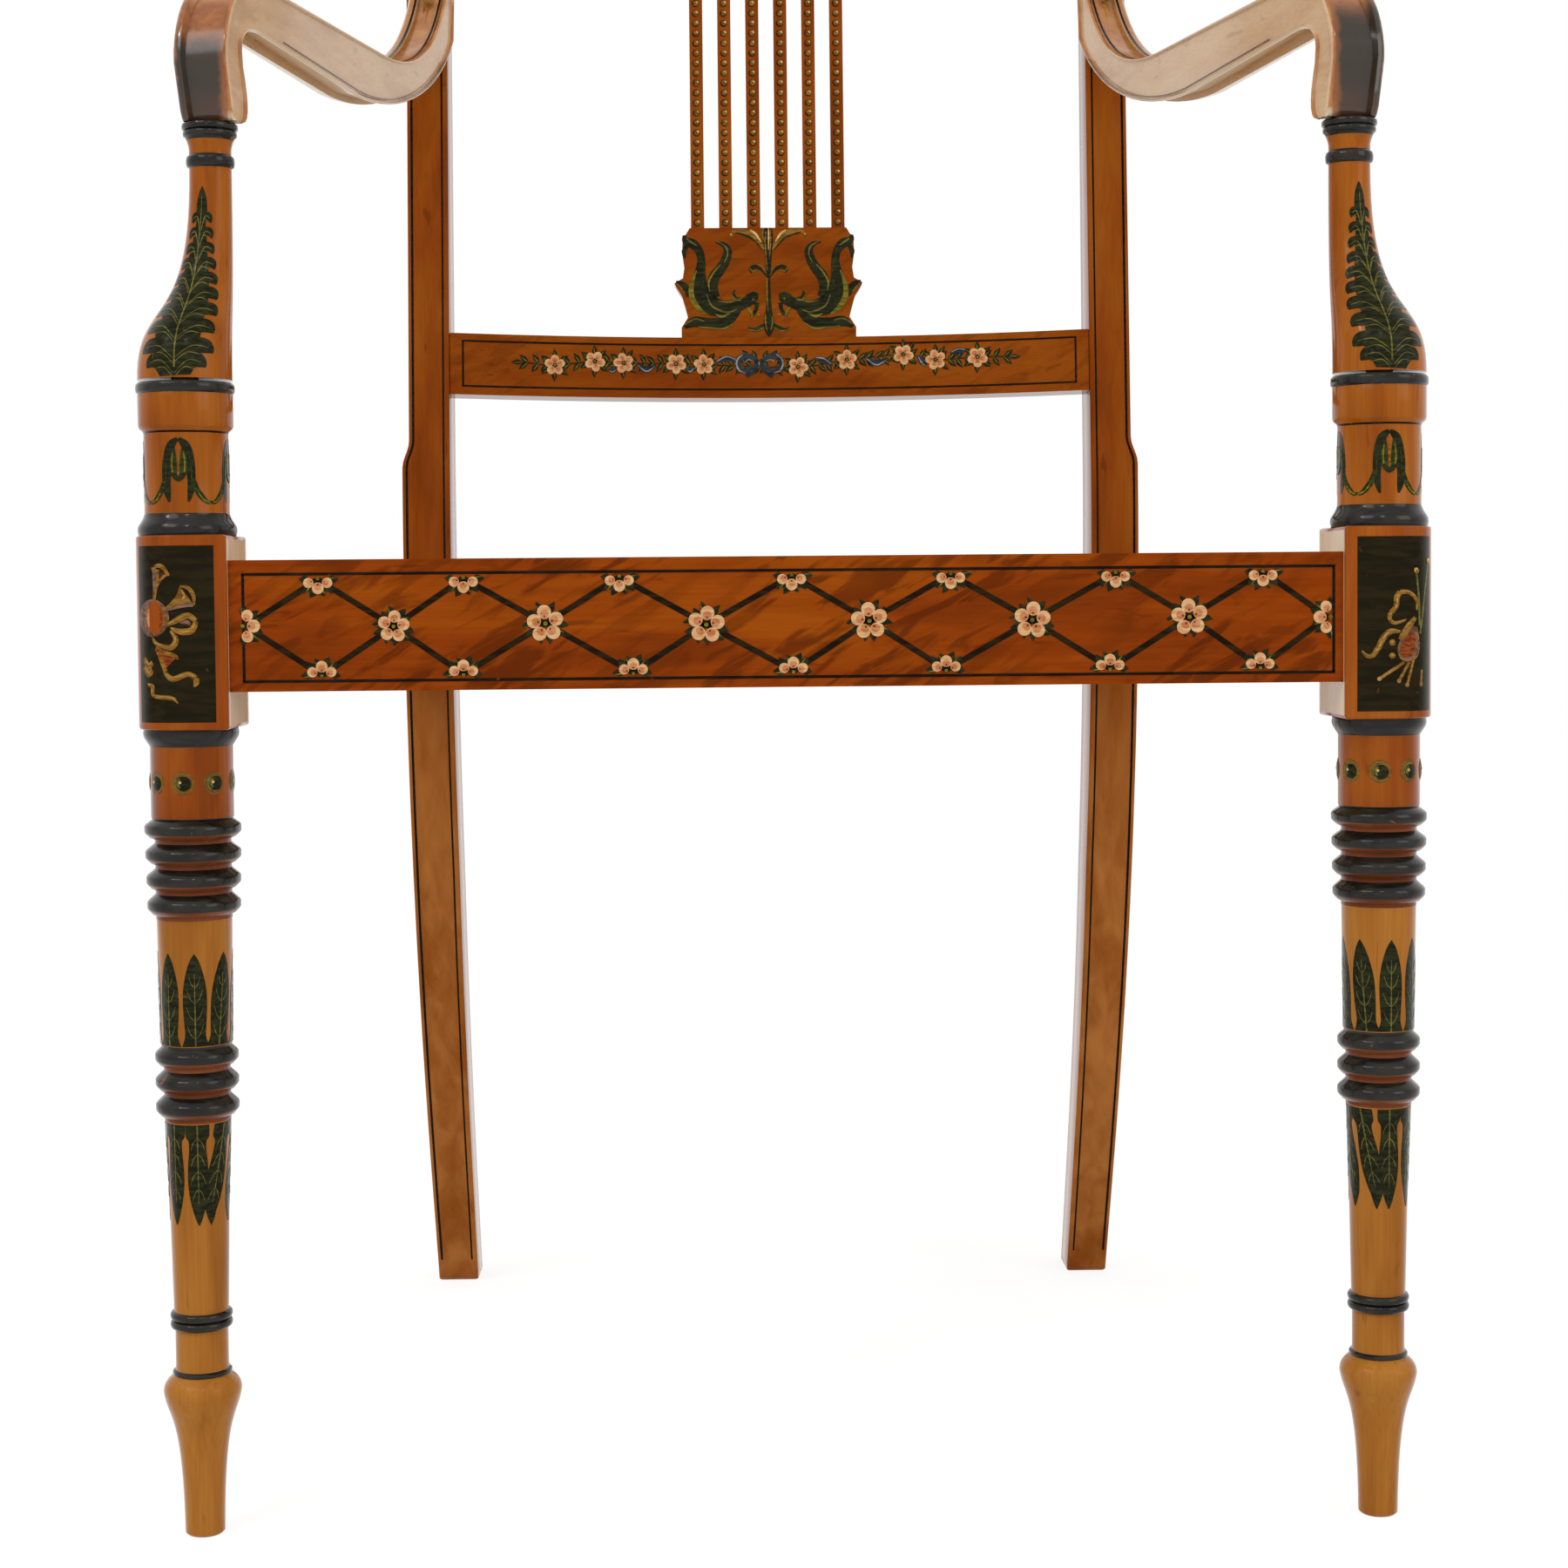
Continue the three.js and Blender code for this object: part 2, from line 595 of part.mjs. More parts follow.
// Caned panel in the rebate: an open net, notched round the blocks and the back legs
function canePanel() {
  const low = seat.top - rebate.depth + gap;
  const lip = rebate.width - gap;
  const clearY = leg.blockDepth + gap;
  const rearY = frontFaceY(seat.top) - gap * 2;
  const half = [
    [legInnerX - gap, frontRailBack - lip],
    [legInnerX - gap, clearY],
    [railInnerX(clearY) + lip, clearY],
    [railInnerX(rearY) + lip, rearY],
    [backInnerX - gap, rearY],
    [backInnerX - gap, backRailFront + lip],
  ];
  const panel = solid(
    prismZ(shapeOf([...half, ...half.map(([x, y]) => [-x, y]).reverse()]), low, low + cane.thickness),
  );
  const open = cane.pitch - cane.strand;
  const depth = backRailFront - frontRailBack - cane.edge * 2;
  const rows = Math.floor((depth + cane.strand) / cane.pitch);
  const firstY = (frontRailBack + backRailFront - rows * cane.pitch + cane.strand) / 2;
  const gaps = [];
  for (let row = 0; row < rows; row += 1) {
    const y = firstY + row * cane.pitch;
    const reach = Math.min(legInnerX, railInnerX(y + open)) - cane.edge;
    const columns = Math.floor((reach * 2 + cane.strand) / cane.pitch);
    const firstX = (-columns * cane.pitch + cane.strand) / 2;
    for (let column = 0; column < columns; column += 1) {
      const x = firstX + column * cane.pitch;
      gaps.push(solid(box(x, x + open, y, y + open, low - overrun, low + cane.thickness + overrun)));
    }
  }
  return panel.subtract(wasm.Manifold.union(gaps));
}

// Corner brace glued and screwed behind the rails, its two screws, and the plan that it follows
const braceTop = seat.top - brace.drop;
const braceMidZ = braceTop - brace.height / 2;
const bracePlans = {
  front: () => {
    const sideY = leg.blockDepth + brace.sideReach;
    const endX = legInnerX - brace.reach;
    return [
      [endX, frontRailBack + gap],
      [legInnerX - gap, frontRailBack + gap],
      [legInnerX - gap, leg.blockDepth],
      [railInnerX(sideY) - gap, sideY],
      [railInnerX(sideY) - gap - brace.end, sideY],
      [endX, frontRailBack + gap + brace.end],
    ];
  },
  back: () => {
    const sideY = hingeY - brace.sideReach;
    const rearY = frontFaceY(braceTop) - gap * 2;
    const endX = backInnerX - brace.reach;
    return [
      [endX, backRailFront - gap - brace.end],
      [railInnerX(sideY) - gap - brace.end, sideY],
      [railInnerX(sideY) - gap, sideY],
      [railInnerX(rearY) - gap, rearY],
      [backInnerX - gap, rearY],
      [backInnerX - gap, backRailFront - gap],
      [endX, backRailFront - gap],
    ];
  },
};
const railNormal = new THREE.Vector3(sideRun, sideFrontX - sideBackX, 0).normalize();
const screwAt = (x, y, to) => ({ at: new THREE.Vector3(x, y, braceMidZ), to });
const sideScrewAt = (y) => screwAt(railInnerX(y) - gap - brace.end, y, railNormal);
const alongRail = brace.reach - braceScrew.inset;
const alongSide = brace.sideReach - braceScrew.inset;
const braceScrews = {
  front: {
    a: screwAt(legInnerX - alongRail, frontRailBack + gap + brace.end, forward),
    b: sideScrewAt(leg.blockDepth + alongSide),
  },
  back: {
    a: screwAt(backInnerX - alongRail, backRailFront - gap - brace.end, forward.clone().negate()),
    b: sideScrewAt(hingeY - alongSide),
  },
};
const screwCuts = (end) => {
  const cuts = Object.values(braceScrews[end]).map(({ at, to }) => {
    const mouth = pin(braceScrew.headR + gap, brace.end * 2).translate(0, 0, -brace.end * 2);
    return solid(lay(screwShape(braceScrew, gap), at, to)).add(solid(lay(mouth, at, to)));
  });
  return cuts[0].add(cuts[1]);
};

// Right-hand side pieces, cut where their neighbours enter; the left side mirrors them
const legBlank = solid(prismX(backLegSide(), backInnerX - overrun, backLegOuterX + overrun)).intersect(
  solid(prismY(backLegFront(), hingeY - back.sabreRake, hingeY + back.sabreRake * 2)),
);
const backCuts = screwCuts("back");
const frontCuts = screwCuts("front");
const intoBack = (geometry) => solid(geometry.applyMatrix4(backFrame.matrix));

const screwTurn = THREE.MathUtils.degToRad(armScrew.dip);
const armScrewWay = new THREE.Vector3(0, -Math.cos(screwTurn), -Math.sin(screwTurn));
const armScrewZ = armTop + armScrew.rise;
const plugMouth = new THREE.Vector3(uprightX, rearFaceY(armScrewZ), armScrewZ);
const armScrewAt = plugMouth.clone().addScaledVector(armScrewWay, armScrew.plugH + gap);
const plugLong = (grow) =>
  solid(
    lay(
      pin(armScrew.plugR + grow, armScrew.plugH * 2 + grow).translate(0, 0, -armScrew.plugH),
      plugMouth,
      armScrewWay,
    ),
  );
const armScrewHole = solid(lay(screwShape(armScrew, gap), armScrewAt, armScrewWay));

const dowelAt = new THREE.Vector3(legAxisX, axisY, legTop - supportDowel.h / 2);
const dowel = solid(lay(pin(supportDowel.r, supportDowel.h), dowelAt, up));
const dowelFoot = dowelAt.clone().addScaledVector(up, -gap);
const dowelHole = solid(lay(pin(supportDowel.r + gap, supportDowel.h + gap * 2), dowelFoot, up));
const spigotHole = solid(
  lay(
    pin(spigot.r + gap, spigot.h + gap * 2, turningFaces),
    new THREE.Vector3(neckX, neckY, supportTop),
    up,
  ),
);

const frontLeg = solid(turned(frontLegProfile(), turningFaces).translate(legAxisX, axisY, 0))
  .add(solid(prismZ(blockPlan(), blockBottom, blockTop)))
  .subtract(frontTenon(gap))
  .subtract(sideTenonFront(gap))
  .subtract(dowelHole);
const support = supportBlank().subtract(dowelHole);
const armSolid = armBlank().subtract(spigotHole).subtract(armScrewHole);
const backLeg = legBlank
  .subtract(sideTenonBack(gap))
  .subtract(backRailTenon(gap))
  .subtract(intoBack(backTenonBox(crossRail, gap)))
  .subtract(intoBack(backTenonBox({ ...crest, bottom: crestBottom }, gap)))
  .subtract(plugLong(gap))
  .subtract(armScrewHole);

const railFrontY = leg.blockDepth + gap;
const sideRailPlan = shapeOf([
  [railInnerX(railFrontY), railFrontY],
  [railInnerX(railFrontY) + seat.railThickness, railFrontY],
  [railInnerX(hingeY + overrun) + seat.railThickness, hingeY + overrun],
  [railInnerX(hingeY + overrun), hingeY + overrun],
]);
const sideRailSolid = solid(prismZ(sideRailPlan, railBottom, seat.top))
  .subtract(legBlank.translate([0, -gap, 0]))
  .subtract(legBlank)
  .add(sideTenonFront(0))
  .add(sideTenonBack(0))
  .subtract(rebateCut)
  .subtract(frontCuts)
  .subtract(backCuts);

const mirrored = (made) => made.add(made.mirror([1, 0, 0]));
const frontRail = solid(
  box(-legInnerX + gap, legInnerX - gap, seat.frontSetback, frontRailBack, railBottom, seat.top),
)
  .add(mirrored(frontTenon(0)))
  .subtract(rebateCut)
  .subtract(mirrored(frontCuts));
const backRailSolid = solid(
  box(
    -backInnerX + gap,
    backInnerX - gap,
    backRailFront,
    backRailFront + backRail.thickness,
    railBottom,
    seat.top,
  ),
)
  .add(mirrored(backRailTenon(0)))
  .subtract(rebateCut)
  .subtract(mirrored(backCuts));

// The chair
const chair = new THREE.Group();
for (const [side, sign] of [["right", 1], ["left", -1]]) {
  const half = new THREE.Group();
  half.scale.x = sign;
  chair.add(half);
  piece(`front_leg_${side}`, frontLeg, paleSatinwood, half);
  piece(`arm_support_${side}`, support, paleSatinwood, half);
  piece(`support_dowel_${side}`, dowel, dowelwood, half);
  piece(`arm_${side}`, armSolid, paleSatinwood, half);
  piece(`arm_screw_${side}`, solid(lay(screwShape(armScrew), armScrewAt, armScrewWay)), steel, half);
  piece(`arm_plug_${side}`, plugLong(0).intersect(legBlank), satinwood, half);
  piece(`back_leg_${side}`, backLeg, satinwood, half);
  piece(`side_rail_${side}`, sideRailSolid, satinwood, half);
  for (const [end, cuts] of [["front", frontCuts], ["back", backCuts]]) {
    const plan = shapeOf(bracePlans[end]());
    const blank = solid(prismZ(plan, braceTop - brace.height, braceTop));
    piece(`corner_brace_${end}_${side}`, blank.subtract(cuts), beech, half);
    for (const [tag, { at, to }] of Object.entries(braceScrews[end])) {
      const screw = solid(lay(screwShape(braceScrew), at, to));
      piece(`brace_screw_${end}_${side}_${tag}`, screw, steel, half);
    }
  }
}
piece("front_rail", frontRail, satinwood, chair);
piece("back_rail", backRailSolid, satinwood, chair);
piece("cane_seat", canePanel(), canework, chair);

chair.add(backFrame);
const cross = bowedRail(crossRail, crossRail.height);
const plinthMortise = solid(plateTenonBox(crossTop - plateTenon.height - gap, crossTop + overrun, gap));
piece("cross_rail", cross.body.add(cross.tenons).subtract(plinthMortise), satinwood, backFrame);
const crestRail = bowedRail({ ...crest, bottom: crestBottom }, crest.height + crest.arch);
const crestEdge = [];
for (let i = 0; i <= bendSteps; i += 1) {
  const turn = lerp(Math.PI, -Math.PI, i / bendSteps);
  const rise = (crest.arch * (1 + Math.cos(turn))) / 2;
  crestEdge.push([(turn / Math.PI) * backInnerX, crestBottom + crest.height + rise]);
}
const crestFront = shapeOf([
  [-backInnerX, crestBottom - overrun],
  [backInnerX, crestBottom - overrun],
  ...crestEdge,
]);
const plateMortise = plateTenonBox(crestBottom - overrun, crestBottom + plateTenon.height + gap, gap);
piece(
  "crest_rail",
  crestRail.body
    .intersect(solid(prismY(crestFront, 0, bow.depth + crest.thickness * 2)))
    .add(crestRail.tenons)
    .subtract(solid(plateMortise)),
  satinwood,
  backFrame,
);

const stringCuts = [];
for (let i = 0; i < strings.count; i += 1) stringCuts.push(stringShape(i, gap));
const plateBody = (size, heights, widths, bottom) =>
  solid(
    prismY(
      platePoints(size, heights, widths, bottom),
      stringY - size.thickness / 2,
      stringY + size.thickness / 2,
    ),
  );
const cutByStrings = (made) => stringCuts.reduce((left, cut) => left.subtract(cut), made);
piece(
  "lyre_plinth",
  cutByStrings(
    plateBody(plinth, plinthHeightShares, plinthWidthShares, crossTop + gap).add(
      solid(plateTenonBox(crossTop - plateTenon.height, crossTop + overrun, 0)),
    ),
  ),
  satinwood,
  backFrame,
);
piece(
  "lyre_plate",
  cutByStrings(
    plateBody(plate, plateHeightShares, plateWidthShares, plateBottom).add(
      solid(plateTenonBox(crestBottom - overrun, crestBottom + plateTenon.height, 0)),
    ),
  ),
  satinwood,
  backFrame,
);
for (let i = 0; i < strings.count; i += 1) {
  piece(`lyre_string_${i + 1}`, stringShape(i, 0), satinwood, backFrame);
}

// The chair stands on its own origin, in the middle of its box
const bounds = new THREE.Box3().setFromObject(chair);
chair.position.y = -(bounds.min.y + bounds.max.y) / 2;

export default chair;
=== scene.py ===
"""Studio scene of a painted open armchair with a lyre back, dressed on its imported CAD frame.

Sizes are millimetres on the chair, measured from the front face of the leg blocks (Y), from the
middle (X) and from the floor (Z). They become metres in the shared frame when a mesh is made.
"""

import logging
import math
from dataclasses import dataclass, field
from enum import Enum
from typing import Callable, Iterable, Sequence

import bpy
from mathutils import Matrix, Vector

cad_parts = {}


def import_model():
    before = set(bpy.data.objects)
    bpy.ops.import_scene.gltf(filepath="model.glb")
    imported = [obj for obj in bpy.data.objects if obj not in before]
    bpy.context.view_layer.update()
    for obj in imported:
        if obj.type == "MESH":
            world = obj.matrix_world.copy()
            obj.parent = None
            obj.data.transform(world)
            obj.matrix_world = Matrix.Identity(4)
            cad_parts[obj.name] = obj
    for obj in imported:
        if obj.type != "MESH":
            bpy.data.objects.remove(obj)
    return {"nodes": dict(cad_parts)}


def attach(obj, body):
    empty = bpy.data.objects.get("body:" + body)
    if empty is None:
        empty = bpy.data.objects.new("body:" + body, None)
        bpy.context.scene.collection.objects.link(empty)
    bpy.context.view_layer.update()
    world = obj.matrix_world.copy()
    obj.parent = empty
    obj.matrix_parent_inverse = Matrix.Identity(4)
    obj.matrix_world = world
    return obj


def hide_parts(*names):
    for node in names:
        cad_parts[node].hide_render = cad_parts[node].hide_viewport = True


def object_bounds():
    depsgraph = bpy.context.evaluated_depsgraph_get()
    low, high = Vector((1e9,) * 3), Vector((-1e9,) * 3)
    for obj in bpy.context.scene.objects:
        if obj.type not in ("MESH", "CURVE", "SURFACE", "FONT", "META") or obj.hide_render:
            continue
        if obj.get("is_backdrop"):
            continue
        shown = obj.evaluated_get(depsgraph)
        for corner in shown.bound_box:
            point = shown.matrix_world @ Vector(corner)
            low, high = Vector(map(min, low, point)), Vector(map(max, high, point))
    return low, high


log = logging.getLogger("armchair")

MM = 0.001

# Places that several parts share
LEG_X, LEG_Y = 268.5, 26.0
BLOCK_INNER, BLOCK_OUTER, BLOCK_DEPTH, BLOCK_CORNER = 247.0, 290.0, 52.0, 20.0
BLOCK_Z, BLOCK_TOP = 366.3, 452.3
HINGE_Y, HINGE_Z, BACK_LEAN = 334.0, 500.0, 4.5
SEAT_TOP = 441.0

Point = tuple[float, float]
Colour = tuple[float, float, float, float]
Spine = Sequence[tuple[float, float, float]]
Surface = Callable[[float, float, float], Vector]
Station = tuple[float, float, str]
Marks = Sequence[tuple]  # Paint, layer and places of each mark

WHITE: Colour = (1.0, 1.0, 1.0, 1.0)


class Side(Enum):
    """Half of the chair, with the sign of its X."""

    RIGHT = 1
    LEFT = -1

    @property
    def word(self) -> str:
        """Word used in the names of the pieces."""
        return self.name.lower()


class Grain(Enum):
    """Direction in which the wood fibres run."""

    ALONG_X = (0.16, 1.0, 1.0)
    ALONG_Y = (1.0, 0.16, 1.0)
    ALONG_Z = (1.0, 1.0, 0.16)


def tint(code: str) -> Colour:
    """Linear red, green, blue and an alpha of 1 for a code of six hexadecimal digits."""
    shown = [int(code[i : i + 2], 16) / 255 for i in (0, 2, 4)]
    return *(c / 12.92 if c <= 0.04045 else ((c + 0.055) / 1.055) ** 2.4 for c in shown), 1.0


def lerp(start: float, end: float, share: float) -> float:
    """Value at a share of the way from start to end."""
    return start + (end - start) * share


def ease(share: float) -> float:
    """Share that starts and ends gently."""
    held = min(1.0, max(0.0, share))
    return held * held * (3 - 2 * held)


def curve_between(start: Point, end: Point, pulls: Sequence[Point], steps: int) -> list[Point]:
    """Points of a curve from start to end.

    Args:
        start: First corner that the shares are read from.
        end: Opposite corner.
        pulls: Two ends and two pulls, as shares of the way from start to end.
        steps: Number of stretches.

    Returns:
        The points, steps + 1 of them.
    """
    corners = [(lerp(start[0], end[0], u), lerp(start[1], end[1], v)) for u, v in pulls]
    made = []
    for i in range(steps + 1):
        t = i / steps
        weights = ((1 - t) ** 3, 3 * (1 - t) ** 2 * t, 3 * (1 - t) * t**2, t**3)
        u, v = (sum(w * c[k] for w, c in zip(weights, corners)) for k in (0, 1))
        made.append((u, v))
    return made


def read_at(height: float, points: Sequence[Point]) -> float:
    """First number of a point on a rising line, read at a value of the second.

    Args:
        height: Value of the second.
        points: The line.

    Returns:
        The first number there.
    """
    for (low, low_z), (high, high_z) in zip(points, points[1:]):
        if height <= high_z:
            return lerp(low, high, (height - low_z) / (high_z - low_z))
    return points[-1][0]


def smooth(p: float, q: float, r: float, s: float, t: float) -> float:
    """Value at a share t of the way from q to r, on a smooth line through p, q, r and s."""
    bend, twist = (2 * p - 5 * q + 4 * r - s) * t**2, (3 * q - p - 3 * r + s) * t**3
    return 0.5 * (2 * q + (r - p) * t + bend + twist)


def rounded_line(points: Sequence[Sequence[float]], steps: int) -> list[tuple[float, ...]]:
    """Smooth line through every given point.

    Args:
        points: Points of any number of values.
        steps: Stretches between two of them.

    Returns:
        The points of the smooth line.
    """
    held = [points[0], *points, points[-1]]
    made: list[tuple[float, ...]] = []
    for a, b, c, d in zip(held, held[1:], held[2:], held[3:]):
        for i in range(steps):
            t = i / steps
            made.append(tuple(smooth(*four, t) for four in zip(a, b, c, d)))
    made.append(tuple(points[-1]))
    return made


def moved(spine: Spine, u: float = 0.0, v: float = 0.0, sign: int = 1) -> Spine:
    """Spine shifted across and up; a sign of -1 gives its mirror image."""
    return [(u + sign * x, v + y, half) for x, y, half in spine]


def around(spot: Point, r: float, turn: float) -> Point:
    """Place at a distance from a spot, in a direction counted in radians from the right."""
    return spot[0] + r * math.cos(turn), spot[1] + r * math.sin(turn)


def spoke(r: float, turn: float) -> Vector:
    """Level arrow of a length that turns from the front, in radians, toward the outer side."""
    return Vector((r * math.sin(turn), -r * math.cos(turn), 0))


def rounded_box(low: Point, high: Point, corners: Sequence[tuple[float, int]]) -> list[Point]:
    """Outline of a box with rounded corners, from its lowest corner toward +X.

    Args:
        low: Corner with the lowest X and Y.
        high: Opposite corner.
        corners: Radius and number of stretches of each corner.

    Returns:
        The points of the outline.
    """
    (x0, y0), (x1, y1) = low, high
    places = ((x0, 1, y0, 1, 180), (x1, -1, y0, 1, 270), (x1, -1, y1, -1, 0), (x0, 1, y1, -1, 90))
    made = []
    for (x, right, y, back, start), (r, steps) in zip(places, corners):
        for i in range(steps + 1):
            turn = math.radians(start + 90 * i / steps)
            made.append(around((x + right * r, y + back * r), r, turn))
    return made


class Sock:
    """Shader socket that takes part in arithmetic."""

    def __init__(self, shader: "Shader", link: bpy.types.NodeSocket) -> None:
        """Wraps the output socket of a node."""
        self.shader = shader
        self.link = link

    def _maths(self, operation: str, *values: "Sock | float") -> "Sock":
        """Value of one Math node."""
        return self.shader.node("ShaderNodeMath", {"operation": operation}, dict(enumerate(values)))

    def __add__(self, other: "Sock | float") -> "Sock":
        """Sum."""
        return self._maths("ADD", self, other)

    __radd__ = __add__

    def __mul__(self, other: "Sock | float") -> "Sock":
        """Product."""
        return self._maths("MULTIPLY", self, other)

    __rmul__ = __mul__

    def __sub__(self, other: "Sock | float") -> "Sock":
        """Difference."""
        return self._maths("SUBTRACT", self, other)

    def __rsub__(self, other: "Sock | float") -> "Sock":
        """Difference from a number."""
        return self._maths("SUBTRACT", other, self)

    def __abs__(self) -> "Sock":
        """Value without its sign."""
        return self._maths("ABSOLUTE", self)

    def held(self, low: float, high: float) -> "Sock":
        """Share of the way from low to high, eased and kept within 0 and 1."""
        settings = {"interpolation_type": "SMOOTHSTEP"}
        return self.shader.node("ShaderNodeMapRange", settings, {0: self, 1: low, 2: high})


class Shader:
    """Node tree of one material or of the world."""

    def __init__(self, owner: "bpy.types.Material | bpy.types.World") -> None:
        """Clears the node tree of its owner.

        Args:
            owner: The material or the world.
        """
        self.owner = owner
        owner.use_nodes = True
        self.tree = owner.node_tree
        self.tree.nodes.clear()

    def node(
        self,
        kind: str,
        settings: dict[str, object] | None = None,
        sockets: dict[int | str, object] | None = None,
        out: int | str = 0,
    ) -> Sock:
        """Adds a node.

        Args:
            kind: Node type.
            settings: Its settings; the stops of a ramp are place and colour pairs.
            sockets: Values or links of its inputs.
            out: The output that is handed on.

        Returns:
            That output, or the input of a node that has no outputs.
        """
        made = self.tree.nodes.new(kind)
        for key, value in (settings or {}).items():
            if key == "stops":
                ramp = made.color_ramp
                while len(ramp.elements) < len(value):
                    ramp.elements.new(0.5)
                for element, (place, colour) in zip(ramp.elements, value):
                    element.position, element.color = place, colour
            else:
                setattr(made, key, value)
        for key, value in (sockets or {}).items():
            if isinstance(value, Sock):
                self.tree.links.new(value.link, made.inputs[key])
            else:
                made.inputs[key].default_value = value
        ends = made.outputs if len(made.outputs) else made.inputs
        return Sock(self, ends[out])

    def place(self, stretch: Sequence[float] = (1.0, 1.0, 1.0), shift: float = 0.0) -> Sock:
        """Place on the piece in metres, stretched along each axis.

        Args:
            stretch: Factor along each axis.
            shift: Step to another part of a pattern.

        Returns:
            The place.
        """
        spot = self.node("ShaderNodeTexCoord", out="Object")
        away = self.node("ShaderNodeVectorMath", {"operation": "ADD"}, {0: spot, 1: (shift,) * 3})
        drawn = {0: away, 1: tuple(stretch)}
        return self.node("ShaderNodeVectorMath", {"operation": "MULTIPLY"}, drawn)

    def axis(self, number: int) -> Sock:
        """Place along one axis of the frame in metres."""
        return self.node("ShaderNodeSeparateXYZ", None, {0: self.place()}, out=number)

    def faces(self, number: int) -> Sock:
        """How far the surface faces along one axis of the piece, from -1 to 1."""
        normal = self.node("ShaderNodeTexCoord", out="Normal")
        return self.node("ShaderNodeSeparateXYZ", None, {0: normal}, out=number)

    def sheen(self, least: float) -> Sock:
        """Strength of the varnish, from its least where it faces the viewer to 1 at its edge."""
        edge = self.node("ShaderNodeLayerWeight", None, {"Blend": 0.5}, out="Facing")
        return edge.held(0.25, 0.8) * (1 - least) + least

    def noise(self, spot: Sock, scale: float, detail: float = 3.0, twist: float = 0.0) -> Sock:
        """Cloudy value between 0 and 1."""
        sockets = {"Vector": spot, "Scale": scale, "Detail": detail, "Distortion": twist}
        return self.node("ShaderNodeTexNoise", None, sockets, out="Fac")

    def blend(self, mask: Sock | float, under: Sock | Colour, over: Sock | Colour) -> Sock:
        """Colour under where the mask is 0, and over where it is 1."""
        sockets = {0: mask, 6: under, 7: over}
        return self.node("ShaderNodeMix", {"data_type": "RGBA"}, sockets, out=2)

    def relief(self, height: Sock, depth: float, strength: float = 1.0) -> Sock:
        """Normal of a surface with a small relief."""
        sockets = {"Strength": strength, "Distance": depth, "Height": height}
        return self.node("ShaderNodeBump", None, sockets, out="Normal")

    def finish(self, **sockets: object) -> bpy.types.Material:
        """Ends in a Principled shader.

        Args:
            **sockets: Its inputs, with underscores for the spaces in their names.

        Returns:
            The material.
        """
        named = {key.replace("_", " "): value for key, value in sockets.items()}
        self.end("Material", self.node("ShaderNodeBsdfPrincipled", None, named))
        return self.owner

    def seen(self, lit: Sock, shown: Sock) -> Sock:
        """One shader for most rays, another for the camera, reflections and glass.

        Args:
            lit: Shader that lights the chair.
            shown: Shader that is seen.

        Returns:
            Both, mixed by the kind of ray.
        """
        camera, glossy, glass = (
            self.node("ShaderNodeLightPath", out=f"Is {kind} Ray")
            for kind in ("Camera", "Glossy", "Transmission")
        )
        sockets = {0: camera + glossy + glass, 1: lit, 2: shown}
        return self.node("ShaderNodeMixShader", None, sockets)

    def end(self, kind: str, surface: Sock) -> None:
        """Joins a shader to the output of a material or of the world."""
        self.node(f"ShaderNodeOutput{kind}", None, {"Surface": surface})


